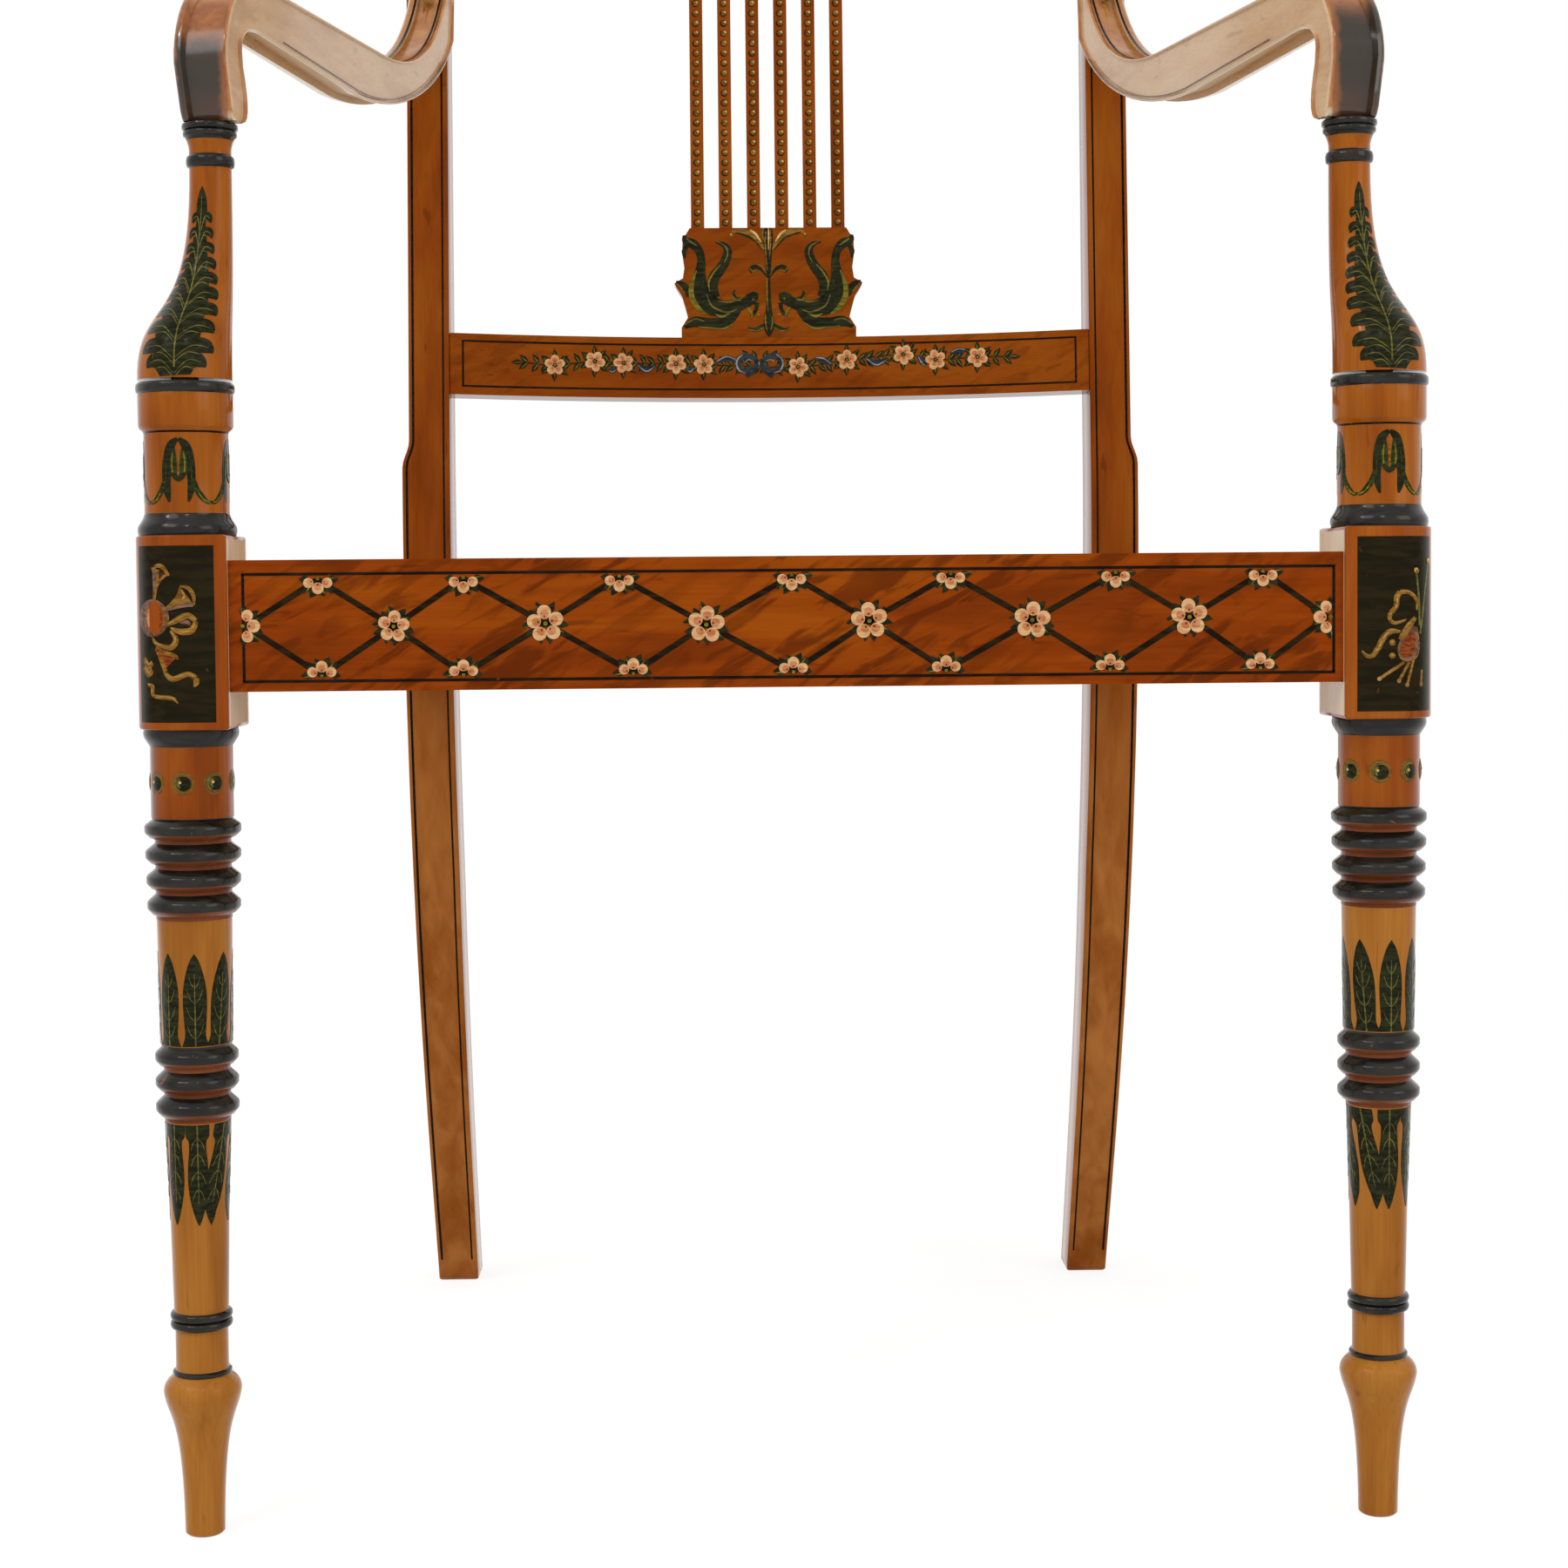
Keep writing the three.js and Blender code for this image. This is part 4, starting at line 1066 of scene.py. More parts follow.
# Two horns behind a drum that is tied with a ribbon
HORNS: Marks = (
    ("old_gold", 1, (34.4, 423, 0.7), (33.4, 428.4, 0.9), (32, 432.6, 2), (30.2, 436.8, 4.9)),
    ("mauve_brown", 2, (35, 423, 0.3), (34.4, 429, 0.5), (34, 433, 0.9), (33.4, 436.6, 1.3)),
    ("gold_shade", 2, (30.6, 433, 0.2), (28.6, 436.2, 1.5), (25.6, 436.2, 1.1)),
    ("old_gold", 3, (35.4, 437, 0.4), (32, 438.9, 0.9), (28.2, 438.2, 1), (25, 434.4, 0.5)),
    ("dull_gold", 4, (33.4, 438.6, 0.1), (30.4, 439.2, 0.3), (27.4, 438.2, 0.1)),
    ("old_gold", 1, (27.4, 419.6, 0.7), (23.4, 422.2, 1.2), (20.4, 424, 2.6), (17.6, 426, 4.8)),
    ("mauve_brown", 2, (26.6, 419, 0.3), (21.8, 420.6, 0.7), (17.4, 421.6, 1), (14.6, 421.2, 0.5)),
    ("old_gold", 3, (20.2, 429.9, 0.4), (16.6, 428.9, 0.9), (14.4, 425.6, 0.9), (14.2, 421.4, 0.4)),
    ("dull_gold", 3, (19.6, 428.2, 0.15), (18.4, 425.4, 0.6), (20.2, 423, 0.2)),
    ("mauve_brown", 3, (33.6, 415.8, 8.6, 0.15)),
    ("old_gold", 5, (27.6, 419.4, 0.3), (26.6, 414.8, 0.7), (28.6, 410.4, 0.3)),
    ("drum_wood", 5, (33.8, 423.6, 0.6), (33.8, 421, 3.2), (33.8, 416, 4.4), (33.8, 411, 3.2),
     (33.8, 408.4, 0.6)),
    ("petal_spot", 6, (30.6, 420.4, 0.2), (29.6, 416, 0.4), (30.6, 411.4, 0.2)),
    ("petal_pink", 6, (38, 420, 0.3), (38.8, 416, 0.9), (38, 412, 0.3)),
    ("ribbon", 2, (27.4, 412, 0.5), (21.4, 415.2, 1.4), (16.8, 416.9, 1.3), (13.6, 414.4, 1.2)),
    ("ribbon", 2.6, (13.6, 414.4, 1.2), (15.4, 410.4, 1.5), (20.2, 409.8, 1.4), (24.4, 411.4, 0.6)),
    ("mauve_brown", 1.2, (20.6, 413.6, 0.3), (17.4, 413.9, 1.1), (16.2, 412.6, 0.4)),
    ("ribbon", 2, (24.6, 410, 0.6), (22.4, 406.2, 1.3), (24.8, 402.8, 1.3), (29.8, 404, 0.8)),
    ("ribbon", 2, (29.8, 404, 0.8), (32.4, 405.4, 0.9), (33.2, 407, 0.5)),
    ("petal_spot", 1, (33.8, 402.6, 0.8), (30.2, 400.2, 1.8), (26.4, 398.2, 3), (24.4, 396.4, 3.4)),
    ("old_gold", 2, (33.6, 403.4, 0.3), (28.6, 401.2, 0.7), (23, 399.2, 0.9), (21.6, 397.6, 0.4)),
    ("old_gold", 2, (33, 401, 0.4), (29.8, 396.6, 1), (27.8, 392.4, 1)),
    ("ribbon", 2, (27.8, 392.4, 0.8), (24.2, 389, 1.3), (17.6, 391.2, 1.2), (14, 389.4, 1.2)),
    ("ribbon", 2, (14, 389.4, 1.2), (13.8, 387.4, 1.3), (14.9, 385.6, 0.4)),
)

# Curl that is drawn twice beside the ribbon's tail
CURL: Marks = (
    ("old_gold", 1.4, (43.4, 398, 1.3), (39.6, 394.6, 1.5), (36.6, 396.4, 1)),
    ("dull_gold", 2.4, (43, 398.6, 0.3), (39.6, 395.4, 0.5), (37, 396.9, 0.2)),
)

# Lower end of the ribbon
TASSEL: Marks = (
    ("ribbon", 2, (36.6, 386.6, 0.8), (34, 385.6, 1.1), (33.6, 381.8, 0.9), (26.4, 381, 1)),
    ("ribbon", 2, (26.4, 381, 1), (23.8, 380.2, 0.9), (21.9, 378.3, 0.3)),
)

# Small lute with its ribbon
LUTE: Marks = (
    ("old_gold", 4, (31.8, 411.4, 0.9), (29, 408.2, 1.5), (26.2, 404.4, 1.5), (24.4, 401.6, 0.9)),
    ("dull_gold", 5, (31.2, 411.6, 0.2), (28.2, 408.4, 0.4), (25.4, 404.6, 0.3)),
    ("mauve_brown", 2.4, (31.6, 407.4, 1.6), (30.4, 403.4, 3.9), (29, 398.6, 5.5), (28.4, 394.6, 5),
     (28.2, 392, 2.2)),
    ("petal_spot", 3.4, (30.6, 404.4, 1.6), (28.6, 399.6, 3.2), (27.6, 395.8, 3.2),
     (27.6, 393.4, 1.2)),
    ("old_gold", 3.6, (33.6, 403.6, 0.2), (34, 398.4, 0.4), (32.8, 394.2, 0.3), (29.4, 391.9, 0.3)),
    ("old_gold", 3.6, (24.6, 400, 0.2), (23.8, 397, 0.4), (24.6, 393.6, 0.3), (27.6, 391.8, 0.2)),
    ("old_gold", 2, (21, 400.4, 1.5, 0.2)),
    ("dull_gold", 4.4, (20.8, 400.7, 0.7, 0)),
    ("old_gold", 2, (21, 394.6, 1.5, 0.2)),
    ("dull_gold", 4.4, (20.8, 394.9, 0.7, 0)),
    ("ribbon", 3, (32.6, 414.6, 0.4), (32.6, 419.2, 0.8), (28.6, 422.6, 0.9), (24.4, 422.8, 1.2)),
    ("ribbon", 3, (24.4, 422.8, 1.2), (22.9, 420.4, 1.3), (22.7, 416.6, 1.2), (20.2, 413.6, 1.1)),
    ("ribbon", 3, (20.2, 413.6, 1.1), (19.8, 410.8, 0.9), (22.2, 409.1, 0.8), (27, 410.4, 0.5)),
    ("ribbon", 2, (24.4, 405.2, 0.6), (20.4, 405.4, 1.3), (17.2, 402.8, 1.4), (14.9, 398.4, 1.3)),
    ("ribbon", 2, (14.9, 398.4, 1.3), (12.4, 394.9, 1.2), (9.6, 394.6, 0.9), (7.2, 396.8, 0.3)),
)


@dataclass
class FrontLeg:
    """Front leg: turned below and above the square block that takes the seat rails."""

    shop: Workshop
    front: float
    side: Side
    sole_r: float = 8.9
    bulb_r: float = 17.5
    bulb_z: float = 66.0
    ankle_r: float = 11.8
    beads_z: float = 94.6
    beads_h: float = 7.9
    low_rings_z: float = 189.6
    ring_pitch: float = 11.4
    shaft_z: float = 224.2
    high_rings_z: float = 280.8
    drum_z: float = 326.4
    drum_r: float = 18.3
    collar_z: float = 358.4
    husk_z: float = 462.0
    husk_r: float = 18.6
    band_z: float = 498.3
    bead_z: float = 514.3
    top_z: float = 521.3
    maker: MeshMaker = field(init=False)

    def centre(self, z: float) -> Vector:
        """Middle of the turning at a height."""
        return Vector((LEG_X, LEG_Y, z))

    def flange(self, turning: Turning, z: float, r: float, groove: float) -> None:
        """Adds one sharp-rimmed ring with its grooves.

        Args:
            turning: Profile that takes it.
            z: Its foot.
            r: Radius of its rim.
            groove: Radius of the grooves.
        """
        h = self.ring_pitch
        foot = [(groove, z), (groove, z + h * 0.13), (lerp(groove, r, 0.45), z + h * 0.2)]
        turning.line(foot, "groove_wood")
        rim = [(r - 0.5, 0.36), (r, 0.44), (r, 0.66), (r - 0.6, 0.74), (lerp(groove, r, 0.2), 0.93)]
        turning.line([(out, z + h * share) for out, share in rim], "worn_black")

    def lower(self) -> Turning:
        """Profile below the block.

        Returns:
            The profile.
        """
        turning = Turning()
        turning.line([(0.4, 0), (self.sole_r - 0.8, 0)], "leg_wood")
        pulls = [(0, 0), (0.07, 0.86), (0.8, 0.8), (1, 1)]
        foot = curve_between((self.sole_r, 0), (self.bulb_r, self.bulb_z), pulls, 22)
        turning.line([(foot[0][0], 0.9), *foot[1:], (17.3, 67.6), (16.7, 69.3)], "leg_wood")
        turning.line([(15.6, 70.9), (14.3, 72.2), (13.1, 73.0)], "leg_wood")
        turning.line([(12.7, 73.5), (13.2, 74.0), (13.2, 75.0), (12.6, 75.6)], "worn_black")
        turning.line([(12.0, 75.9), (self.ankle_r, 78)], "leg_wood")
        turning.step(self.ankle_r, self.beads_z, "worn_black")
        half = self.beads_h / 2
        for i in range(2):
            foot_z = self.beads_z + i * half
            turning.bead(foot_z, foot_z + half, 12.4, 13.9, "worn_black")
        taper = [(12.2, self.beads_z + self.beads_h), (13.2, 150), (14.5, self.low_rings_z - 0.4)]
        turning.line(taper, "leg_wood")
        for i in range(3):
            self.flange(turning, self.low_rings_z + i * self.ring_pitch, 18.5, 14.8)
        turning.line([(15.9, self.shaft_z), (16.7, self.high_rings_z)], "leg_wood")
        for i in range(4):
            self.flange(turning, self.high_rings_z + i * self.ring_pitch, 20.7 + i * 0.23, 16.9)
        turning.step(self.drum_r, self.drum_z, "drum_wood")
        turning.line([(self.drum_r, self.collar_z), (18.9, 359.3), (20.0, 361)], "worn_black")
        turning.line([(20.9, 362.6), (21.2, 364.2), (20.9, BLOCK_Z)], "worn_black")
        turning.step(0.4, BLOCK_Z + 1, "worn_black")
        return turning

    def upper(self) -> Turning:
        """Profile above the block.

        Returns:
            The profile.
        """
        turning = Turning()
        turning.line([(0.4, BLOCK_TOP - 1), (21.5, BLOCK_TOP), (21.9, 454.4)], "worn_black")
        turning.line([(21.8, 456), (21, 457.6), (19.9, 459.2), (19.1, 461)], "worn_black")
        turning.step(18.7, self.husk_z + 0.2, "vase_wood")
        turning.step(self.husk_r, self.band_z - 0.6, "line_black")
        band = [(18.9, self.band_z + 0.3), (20.5, self.band_z + 1.7), (20.9, self.band_z + 3)]
        turning.line(band, "vase_wood")
        turning.step(21, self.bead_z + 1.0, "worn_black")
        turning.bead(self.bead_z + 1.2, self.top_z - 1.1, 20.9, 21.8, "worn_black", 2.4)
        turning.line([(20.9, self.top_z - 0.9), (0.4, self.top_z)], "vase_wood")
        return turning

    def plan(self, inset: float) -> list[Point]:
        """Plan of the block, its front outer corner well rounded, the other edges slightly."""
        low, high = (BLOCK_INNER + inset, inset), (BLOCK_OUTER - inset, BLOCK_DEPTH - inset)
        return rounded_box(low, high, ((1, 4), (BLOCK_CORNER, 14), (1, 4), (1, 4)))

    def round_face(self, low: Point, high: Point) -> Surface:
        """Face of a turned stretch between two stations of radius and height.

        Args:
            low: Radius and height of the lower station.
            high: The same of the upper one.

        Returns:
            The surface.
        """

        def place(u: float, z: float, lift: float) -> Vector:
            """Point at an arc length from the front."""
            r = read_at(min(max(z, low[1]), high[1]), (low, high))
            return self.centre(z) + spoke(r + lift, u / r)

        return place

    def block_face(self, s: float, z: float, lift: float) -> Vector:
        """Point on the block, by its distance from the inner edge of the front.

        Args:
            s: That distance, round the corner.
            z: Height.
            lift: Height above the surface.

        Returns:
            The point.
        """
        flat = BLOCK_OUTER - BLOCK_CORNER - BLOCK_INNER
        if s <= flat:
            return Vector((BLOCK_INNER + s, -lift, z))
        turn = min((s - flat) / BLOCK_CORNER, math.pi / 2)
        middle = Vector((BLOCK_OUTER - BLOCK_CORNER, BLOCK_CORNER, z))
        return middle + spoke(BLOCK_CORNER + lift, turn)

    def husks(self) -> None:
        """Paints four dark husks with curling tails round the upper drum."""
        r = self.husk_r
        brush = Brush(self.maker, self.round_face((r, self.husk_z), (r, self.band_z)))
        for i in range(4):
            u = 2 * math.pi * r * i / 4
            for sign, bow in ((1, 0.3), (-1, 0.0)):
                husk = [(0.2, 494.8, 0.8), (3.1, 492, 2), (4.8, 487, 2), (5.4, 481, 2.0 + bow)]
                husk += [(5.5, 475, 1.7 + bow), (5.0, 470.5, 1.3 + bow), (4.2, 467, 0.5)]
                brush.stroke(moved(husk, u, sign=sign), "leaf_dark")
                brush.ornament(TAIL, u, sign=sign)
            brush.ornament(TIE, u)

    def discs(self) -> None:
        """Paints a row of domed discs round the lower drum."""
        r, z = self.drum_r, (self.drum_z + self.collar_z) / 2
        brush = Brush(self.maker, self.round_face((r, self.drum_z), (r, self.collar_z)))
        lit = -self.side.value
        phase = 0.27 if self.side is Side.RIGHT else -0.05
        for i in range(8):
            u = 2 * math.pi * r * (i - phase) / 8
            brush.disc(u, z, 5.3, "vein_olive", 0, 0.1)
            brush.disc(u, z, 4.75, "drum_wood", 1.6)
            brush.disc(u, z, 4.0, "vein_olive", 2.4, 0.2)
            brush.disc(u - lit * 0.5, z - 0.1, 3.4, "leaf_dark", 4, 0.2)
            glint = [(0.9, 2.2, 0.2), (1.9, 0.3, 0.8), (1.2, -2, 0.2)]
            brush.stroke(moved(glint, u, z, lit), "vein_olive", 6)
            brush.disc(u + lit * 1.0, z + 0.5, 0.7, "pale_gold", 7.5, 0.1)

    def leaves(self, face: Surface, r: float, shape: Sequence[Point], veins: Spine) -> None:
        """Paints a ring of eight long leaves that touch at their foot.

        Args:
            face: Surface that they lie on.
            r: Radius that sets how far apart they are.
            shape: A leaf from its tip, as height and half width.
            veins: Side veins, as height of the foot, rise and reach.
        """
        brush = Brush(self.maker, face)
        pitch = 2 * math.pi * r / 8
        tip, foot = shape[0][0], shape[-1][0]
        for i in range(8):
            u = pitch * (i + (0.14 if self.side is Side.RIGHT else -0.2))
            brush.stroke([(u, z, half) for z, half in shape], "leaf_dark")
            end = lerp(foot, tip, 0.78)
            vein = [(u, foot, 0.35), (u, lerp(foot, end, 0.5), 0.28), (u, end, 0.12)]
            brush.stroke(vein, "vein_olive", 1)
            for z, rise, reach in veins:
                side = [(0, z, 0.12), (reach * 0.6, z + rise * 0.35, 0.2), (reach, z + rise, 0.1)]
                for sign in (1, -1):
                    brush.stroke(moved(side, u, sign=sign), "vein_olive", 1.4, 2)

    def panel(self) -> None:
        """Paints the dark panel of the block with its trophy."""
        brush = Brush(self.maker, self.block_face)
        low, high, inner, outer = 369.8, 447.6, 5.0, 43.6
        middle, half = (inner + outer) / 2, (outer - inner) / 2
        ground = [(middle, lerp(low, high, i / 6), half) for i in range(7)]
        brush.stroke(ground, "panel_green", 0, 1)
        if self.side is Side.LEFT:
            brush.ornament(HORNS, squeeze=0.25)
            for drop in (0, 3.4):
                brush.ornament(CURL, v=-drop, squeeze=0.25)
            brush.ornament(TASSEL)
        else:
            self.lute(brush)

    def lute(self, brush: Brush) -> None:
        """Paints a small lute, knobbed sticks and a ribbon.

        Args:
            brush: Brush on its surface.
        """
        stroke = brush.stroke
        for knob, via, end in (
            ((32.5, 432.2), (34, 421), (34.6, 408)),
            ((41, 436.4), (37.6, 419), (35, 404)),
        ):
            stroke([(*knob, 0.5), (*via, 0.6), (*end, 0.6)], "vein_olive", 1)
            brush.disc(*knob, 1.5, "old_gold", 2, 0.3)
            brush.disc(knob[0] - 0.3, knob[1] + 0.4, 1, "pale_gold", 5)
        for start, end in (
            ((26.4, 391.6), (15.2, 384.3)),
            ((28.8, 391.6), (24, 383.3)),
            ((31, 392.4), (27.8, 381.4)),
            ((36, 388), (35.6, 381.6)),
        ):
            brush.rule(start, end, 0.75, "old_gold", 1)
            brush.rule(start, end, 0.2, "dull_gold", 2)
            brush.disc(*end, 1, "dull_gold", 2, 0.15)
        brush.ornament(LUTE)

    def inner_side(self) -> None:
        """Lays paler wood on the block's inner side, a painted reflection of the white surroundings
        at a grazing angle.
        """
        brush = Brush(self.maker, lambda u, z, lift: Vector((BLOCK_INNER - lift, -u, z)))
        skin = [(-26.2, lerp(368.0, 450.6, i / 6), 24.6) for i in range(7)]
        brush.stroke(skin, "bare_wood", 0, 1)

    def build(self) -> None:
        """Makes the leg."""
        self.maker = MeshMaker(f"leg_{self.side.word}", self.shop, self.front, self.side)
        self.lower().lay(self.maker, self.centre)
        self.upper().lay(self.maker, self.centre)
        self.husks()
        self.discs()
        self.leaves(
            self.round_face((15.9, self.shaft_z), (16.7, self.high_rings_z)),
            16.2,
            [(266.2, 0.1), (262, 2.5), (254, 4.7), (246, 5.5), (237, 5.2), (230, 4.7)]
            + [(226.8, 5.4), (224.6, 6.3)],
            [(228, 6, 3.4), (236, 6.4, 3.7), (244, 6.2, 3.4), (251, 5, 2.4)],
        )
        self.leaves(
            self.round_face((13.2, 150), (14.5, self.low_rings_z - 0.4)),
            14.1,
            [(143.4, 0.1), (147, 1.7), (154, 3.6), (162, 4.7), (170, 4.6), (177, 4.0)]
            + [(181.4, 4.0), (184, 5.4), (189, 5.6)],
            [(183, -5.6, 3.1), (176, -5.8, 3.0), (168, -5.8, 3.3), (160, -5, 2.5)],
        )
        self.panel()
        self.inner_side()
        edge = ((0.9, 0.0), (0.25, 0.4), (0.0, 1.2))
        levels = [(inset, BLOCK_Z + rise) for inset, rise in edge]
        levels += [(inset, BLOCK_TOP - rise) for inset, rise in reversed(edge)]
        rows = [[Vector((x, y, z)) for x, y in self.plan(inset)] for inset, z in levels]
        self.maker.grid(rows, "drum_wood", ring=True, caps=True)
        self.maker.build("leg_satinwood", [f"front_leg_{self.side.word}"])


@dataclass
class ArmSupport:
    """Curved vase between the front leg and the arm, with a ringed neck."""

    shop: Workshop
    front: float
    side: Side
    foot_z: float = 521.6
    base_r: float = 20.9
    neck_r: float = 9.4
    height: float = 96.0
    shift_x: float = 10.4
    shift_y: float = 14.0

    def swell(self) -> list[Point]:
        """Radius and height of the vase."""
        pulls = [(1, 0), (1, 0.4), (0, 0.22), (0, 1)]
        return curve_between((self.neck_r, 0), (self.base_r, self.height), pulls, 26)

    def centre(self, z: float) -> Vector:
        """Middle of the bent turning at a height."""
        bend = (self.base_r - self.radius(z)) / (self.base_r - self.neck_r)
        return Vector((LEG_X - self.shift_x * bend, LEG_Y + self.shift_y * bend, z))

    def radius(self, z: float) -> float:
        """Radius of the vase at a height."""
        return read_at(min(max(z - self.foot_z, 0), self.height), self.swell())

    def build(self) -> None:
        """Makes the support."""
        turning = Turning()
        turning.step(0.4, self.foot_z, "vase_wood")
        turning.line([(r, z + self.foot_z) for r, z in self.swell()], "vase_wood")
        bead_z = self.foot_z + self.height
        turning.bead(bead_z, bead_z + 5.8, self.neck_r, 10.8, "worn_black", 2.2)
        neck = [(self.neck_r, bead_z + 6), (self.neck_r, bead_z + 8.6), (9.8, bead_z + 10.6)]
        turning.line(neck, "vase_wood")
        turning.line([(10.4, bead_z + 12.4), (11.0, bead_z + 13.6)], "worn_black")
        turning.bead(bead_z + 13.8, bead_z + 16.8, 11.2, 12.0, "worn_black")
        turning.bead(bead_z + 16.8, bead_z + 20, 11.6, 12.5, "worn_black", 2.4)
        turning.step(0.4, bead_z + 20, "worn_black")
        maker = MeshMaker(f"support_{self.side.word}", self.shop, self.front, self.side)
        turning.lay(maker, self.centre)
        self.acanthus(Brush(maker, self.swell_face))
        maker.build("leg_satinwood", [f"arm_support_{self.side.word}"])

    def swell_face(self, u: float, z: float, lift: float) -> Vector:
        """Point on the vase at an arc length from its front."""
        r = self.radius(z)
        return self.centre(z) + spoke(r + lift, u / r)

    def acanthus(self, brush: Brush) -> None:
        """Paints a long scalloped leaf that grows from a fan at the foot.

        Args:
            brush: Brush on its surface.
        """
        line = [(0.6, 525), (1.6, 545), (2.6, 565), (2.4, 585), (2.0, 609)]
        body = [(522.4, 7), (527, 9.4), (536, 10.8), (546, 10.4), (555, 9.4), (564, 7.6)]
        body += [(573, 5.4), (581, 3.9), (588, 2.9), (593, 2.2), (597, 2.6), (602, 2.3)]
        body += [(606, 1.3), (608.6, 0.1)]
        brush.stroke([(read_at(z, line), z, half) for z, half in body], "leaf_dark")
        lobes = [(595.5, 4.2, 1.8), (588.5, 5.2, 2.0), (581.5, 6.4, 2.2), (574.5, 8.2, 2.4)]
        lobes += [(567.5, 10.4, 2.6), (560.5, 12.6, 2.8), (553, 15, 3.0), (545, 16.2, 3.2)]
        lobes += [(536, 17.0, 3.6), (529.5, 13.4, 3.6)]
        for z, reach, half in lobes:
            lobe = [(0, z - 3, half * 0.9), (reach * 0.42, z - 0.4, half * 1.05)]
            lobe += [(reach * 0.76, z - 0.4, half * 0.95), (reach * 0.95, z - 1.9, half * 0.6)]
            lobe += [(reach * 1.04, z - 3.4, half * 0.1)]
            middle = read_at(z, line)
            for sign in (1, -1):
                brush.stroke(moved(lobe, middle, sign=sign), "leaf_dark", 0.5)
                for drop, share in ((0.0, 0.94), (-half * 0.85, 0.72)):
                    vein = [(0.4, z - 6 + drop * 0.6, 0.1)]
                    vein += [(reach * 0.46 * share, z - 0.4 + drop, 0.24)]
                    vein += [(reach * 0.94 * share, z - 1.2 + drop, 0.1)]
                    brush.stroke(moved(vein, middle, sign=sign), "vein_olive", 2)
        rib = ((526, 0.4), (550, 0.35), (575, 0.3), (604, 0.1))
        brush.stroke([(read_at(z, line), z, half) for z, half in rib], "vein_olive", 2.6)


@dataclass
class BackPost:
    """Back leg and upright in one length: a sabre curve below, a straight lean above."""

    rake: float = 138.0
    top_z: float = 894.0
    crown: float = 5.0
    edge: float = 1.3
    outer: float = 207.8
    slim: float = 204.0
    inner: float = 181.0
    foot_width: float = 24.3

    def sabre(self) -> list[Point]:
        """Front face of the leg below the hinge line."""
        pulls = [(1, 0), (0.77, 0.14), (-0.12, 0.53), (0, 1)]
        return curve_between((HINGE_Y, 0), (HINGE_Y + self.rake, HINGE_Z), pulls, 48)

    def face_y(self, z: float) -> float:
        """Place of the front face at a height."""
        leant = HINGE_Y + (z - HINGE_Z) * math.tan(math.radians(BACK_LEAN))
        return leant if z >= HINGE_Z else read_at(max(z, 0.0), self.sabre())

    def depth_at(self, z: float) -> float:
        """Depth of the leg at a height."""
        upper = lerp(38, 24, (z - SEAT_TOP) / (self.top_z - SEAT_TOP))
        return upper if z > SEAT_TOP else lerp(30, 38, min(1.0, z / 383))

    def outer_x(self, z: float) -> float:
        """Outer side at a height, with a small ogee where the leg narrows to the upright."""
        return lerp(self.outer, self.slim, ease((z - 497) / 15))

    def inner_x(self, z: float) -> float:
        """Inner side at a height."""
        return lerp(self.outer - self.foot_width, self.inner, min(1.0, z / 265))

    def build(self, shop: Workshop, front: float, side: Side) -> None:
        """Makes the back leg of one side.

        Args:
            shop: The finishes.
            front: Place of the block fronts in the frame.
            side: Half of the chair.
        """
        heights = [z for _, z in self.sabre() if z < 494]
        heights += [494 + 3 * i for i in range(8)]
        heights += [lerp(518, self.top_z, i / 12) for i in range(1, 13)]
        heights[0] = 0.0

        def ring(z: float, inset: float, rise: float) -> list[Vector]:
            """One section of the leg, its edges rounded.

            Args:
                z: Height.
                inset: How far it lies inside the faces.
                rise: Lift of its points.

            Returns:
                The points.
            """
            low = (self.inner_x(z) + inset, self.face_y(z) + inset)
            high = (self.outer_x(z) - inset, self.face_y(z) + self.depth_at(z) - inset)
            outline = rounded_box(low, high, ((self.edge, 3),) * 4)
            return [Vector((x, y, z + rise)) for x, y in outline]

        rows = [ring(z, 0.8 if z == 0 else 0.0, 0) for z in heights]
        rows.insert(1, ring(1.0, 0, 0))
        for inset, rise in ((1.0, 1.4), (3.2, 3.2), (6.5, 4.5), (9.0, self.crown)):
            rows.append(ring(self.top_z, inset, rise))
        maker = MeshMaker(f"back_post_{side.word}", shop, front, side)
        maker.grid(rows, "upright_wood", ring=True, caps=True)
        brush = Brush(maker, lambda x, z, lift: Vector((x, self.face_y(z) - lift, z)))
        stops = [z for z in heights if 12 < z < self.top_z - 6]
        outer = [(self.outer_x(z) - 2.6, z, 0.65) for z in stops]
        inner = [(self.inner_x(z) + 3.4, z, 0.5) for z in stops]
        for line in (outer, inner):
            brush.stroke(line, "line_black", 0, 1)
        maker.build("rail_satinwood", [f"back_leg_{side.word}"], 50)


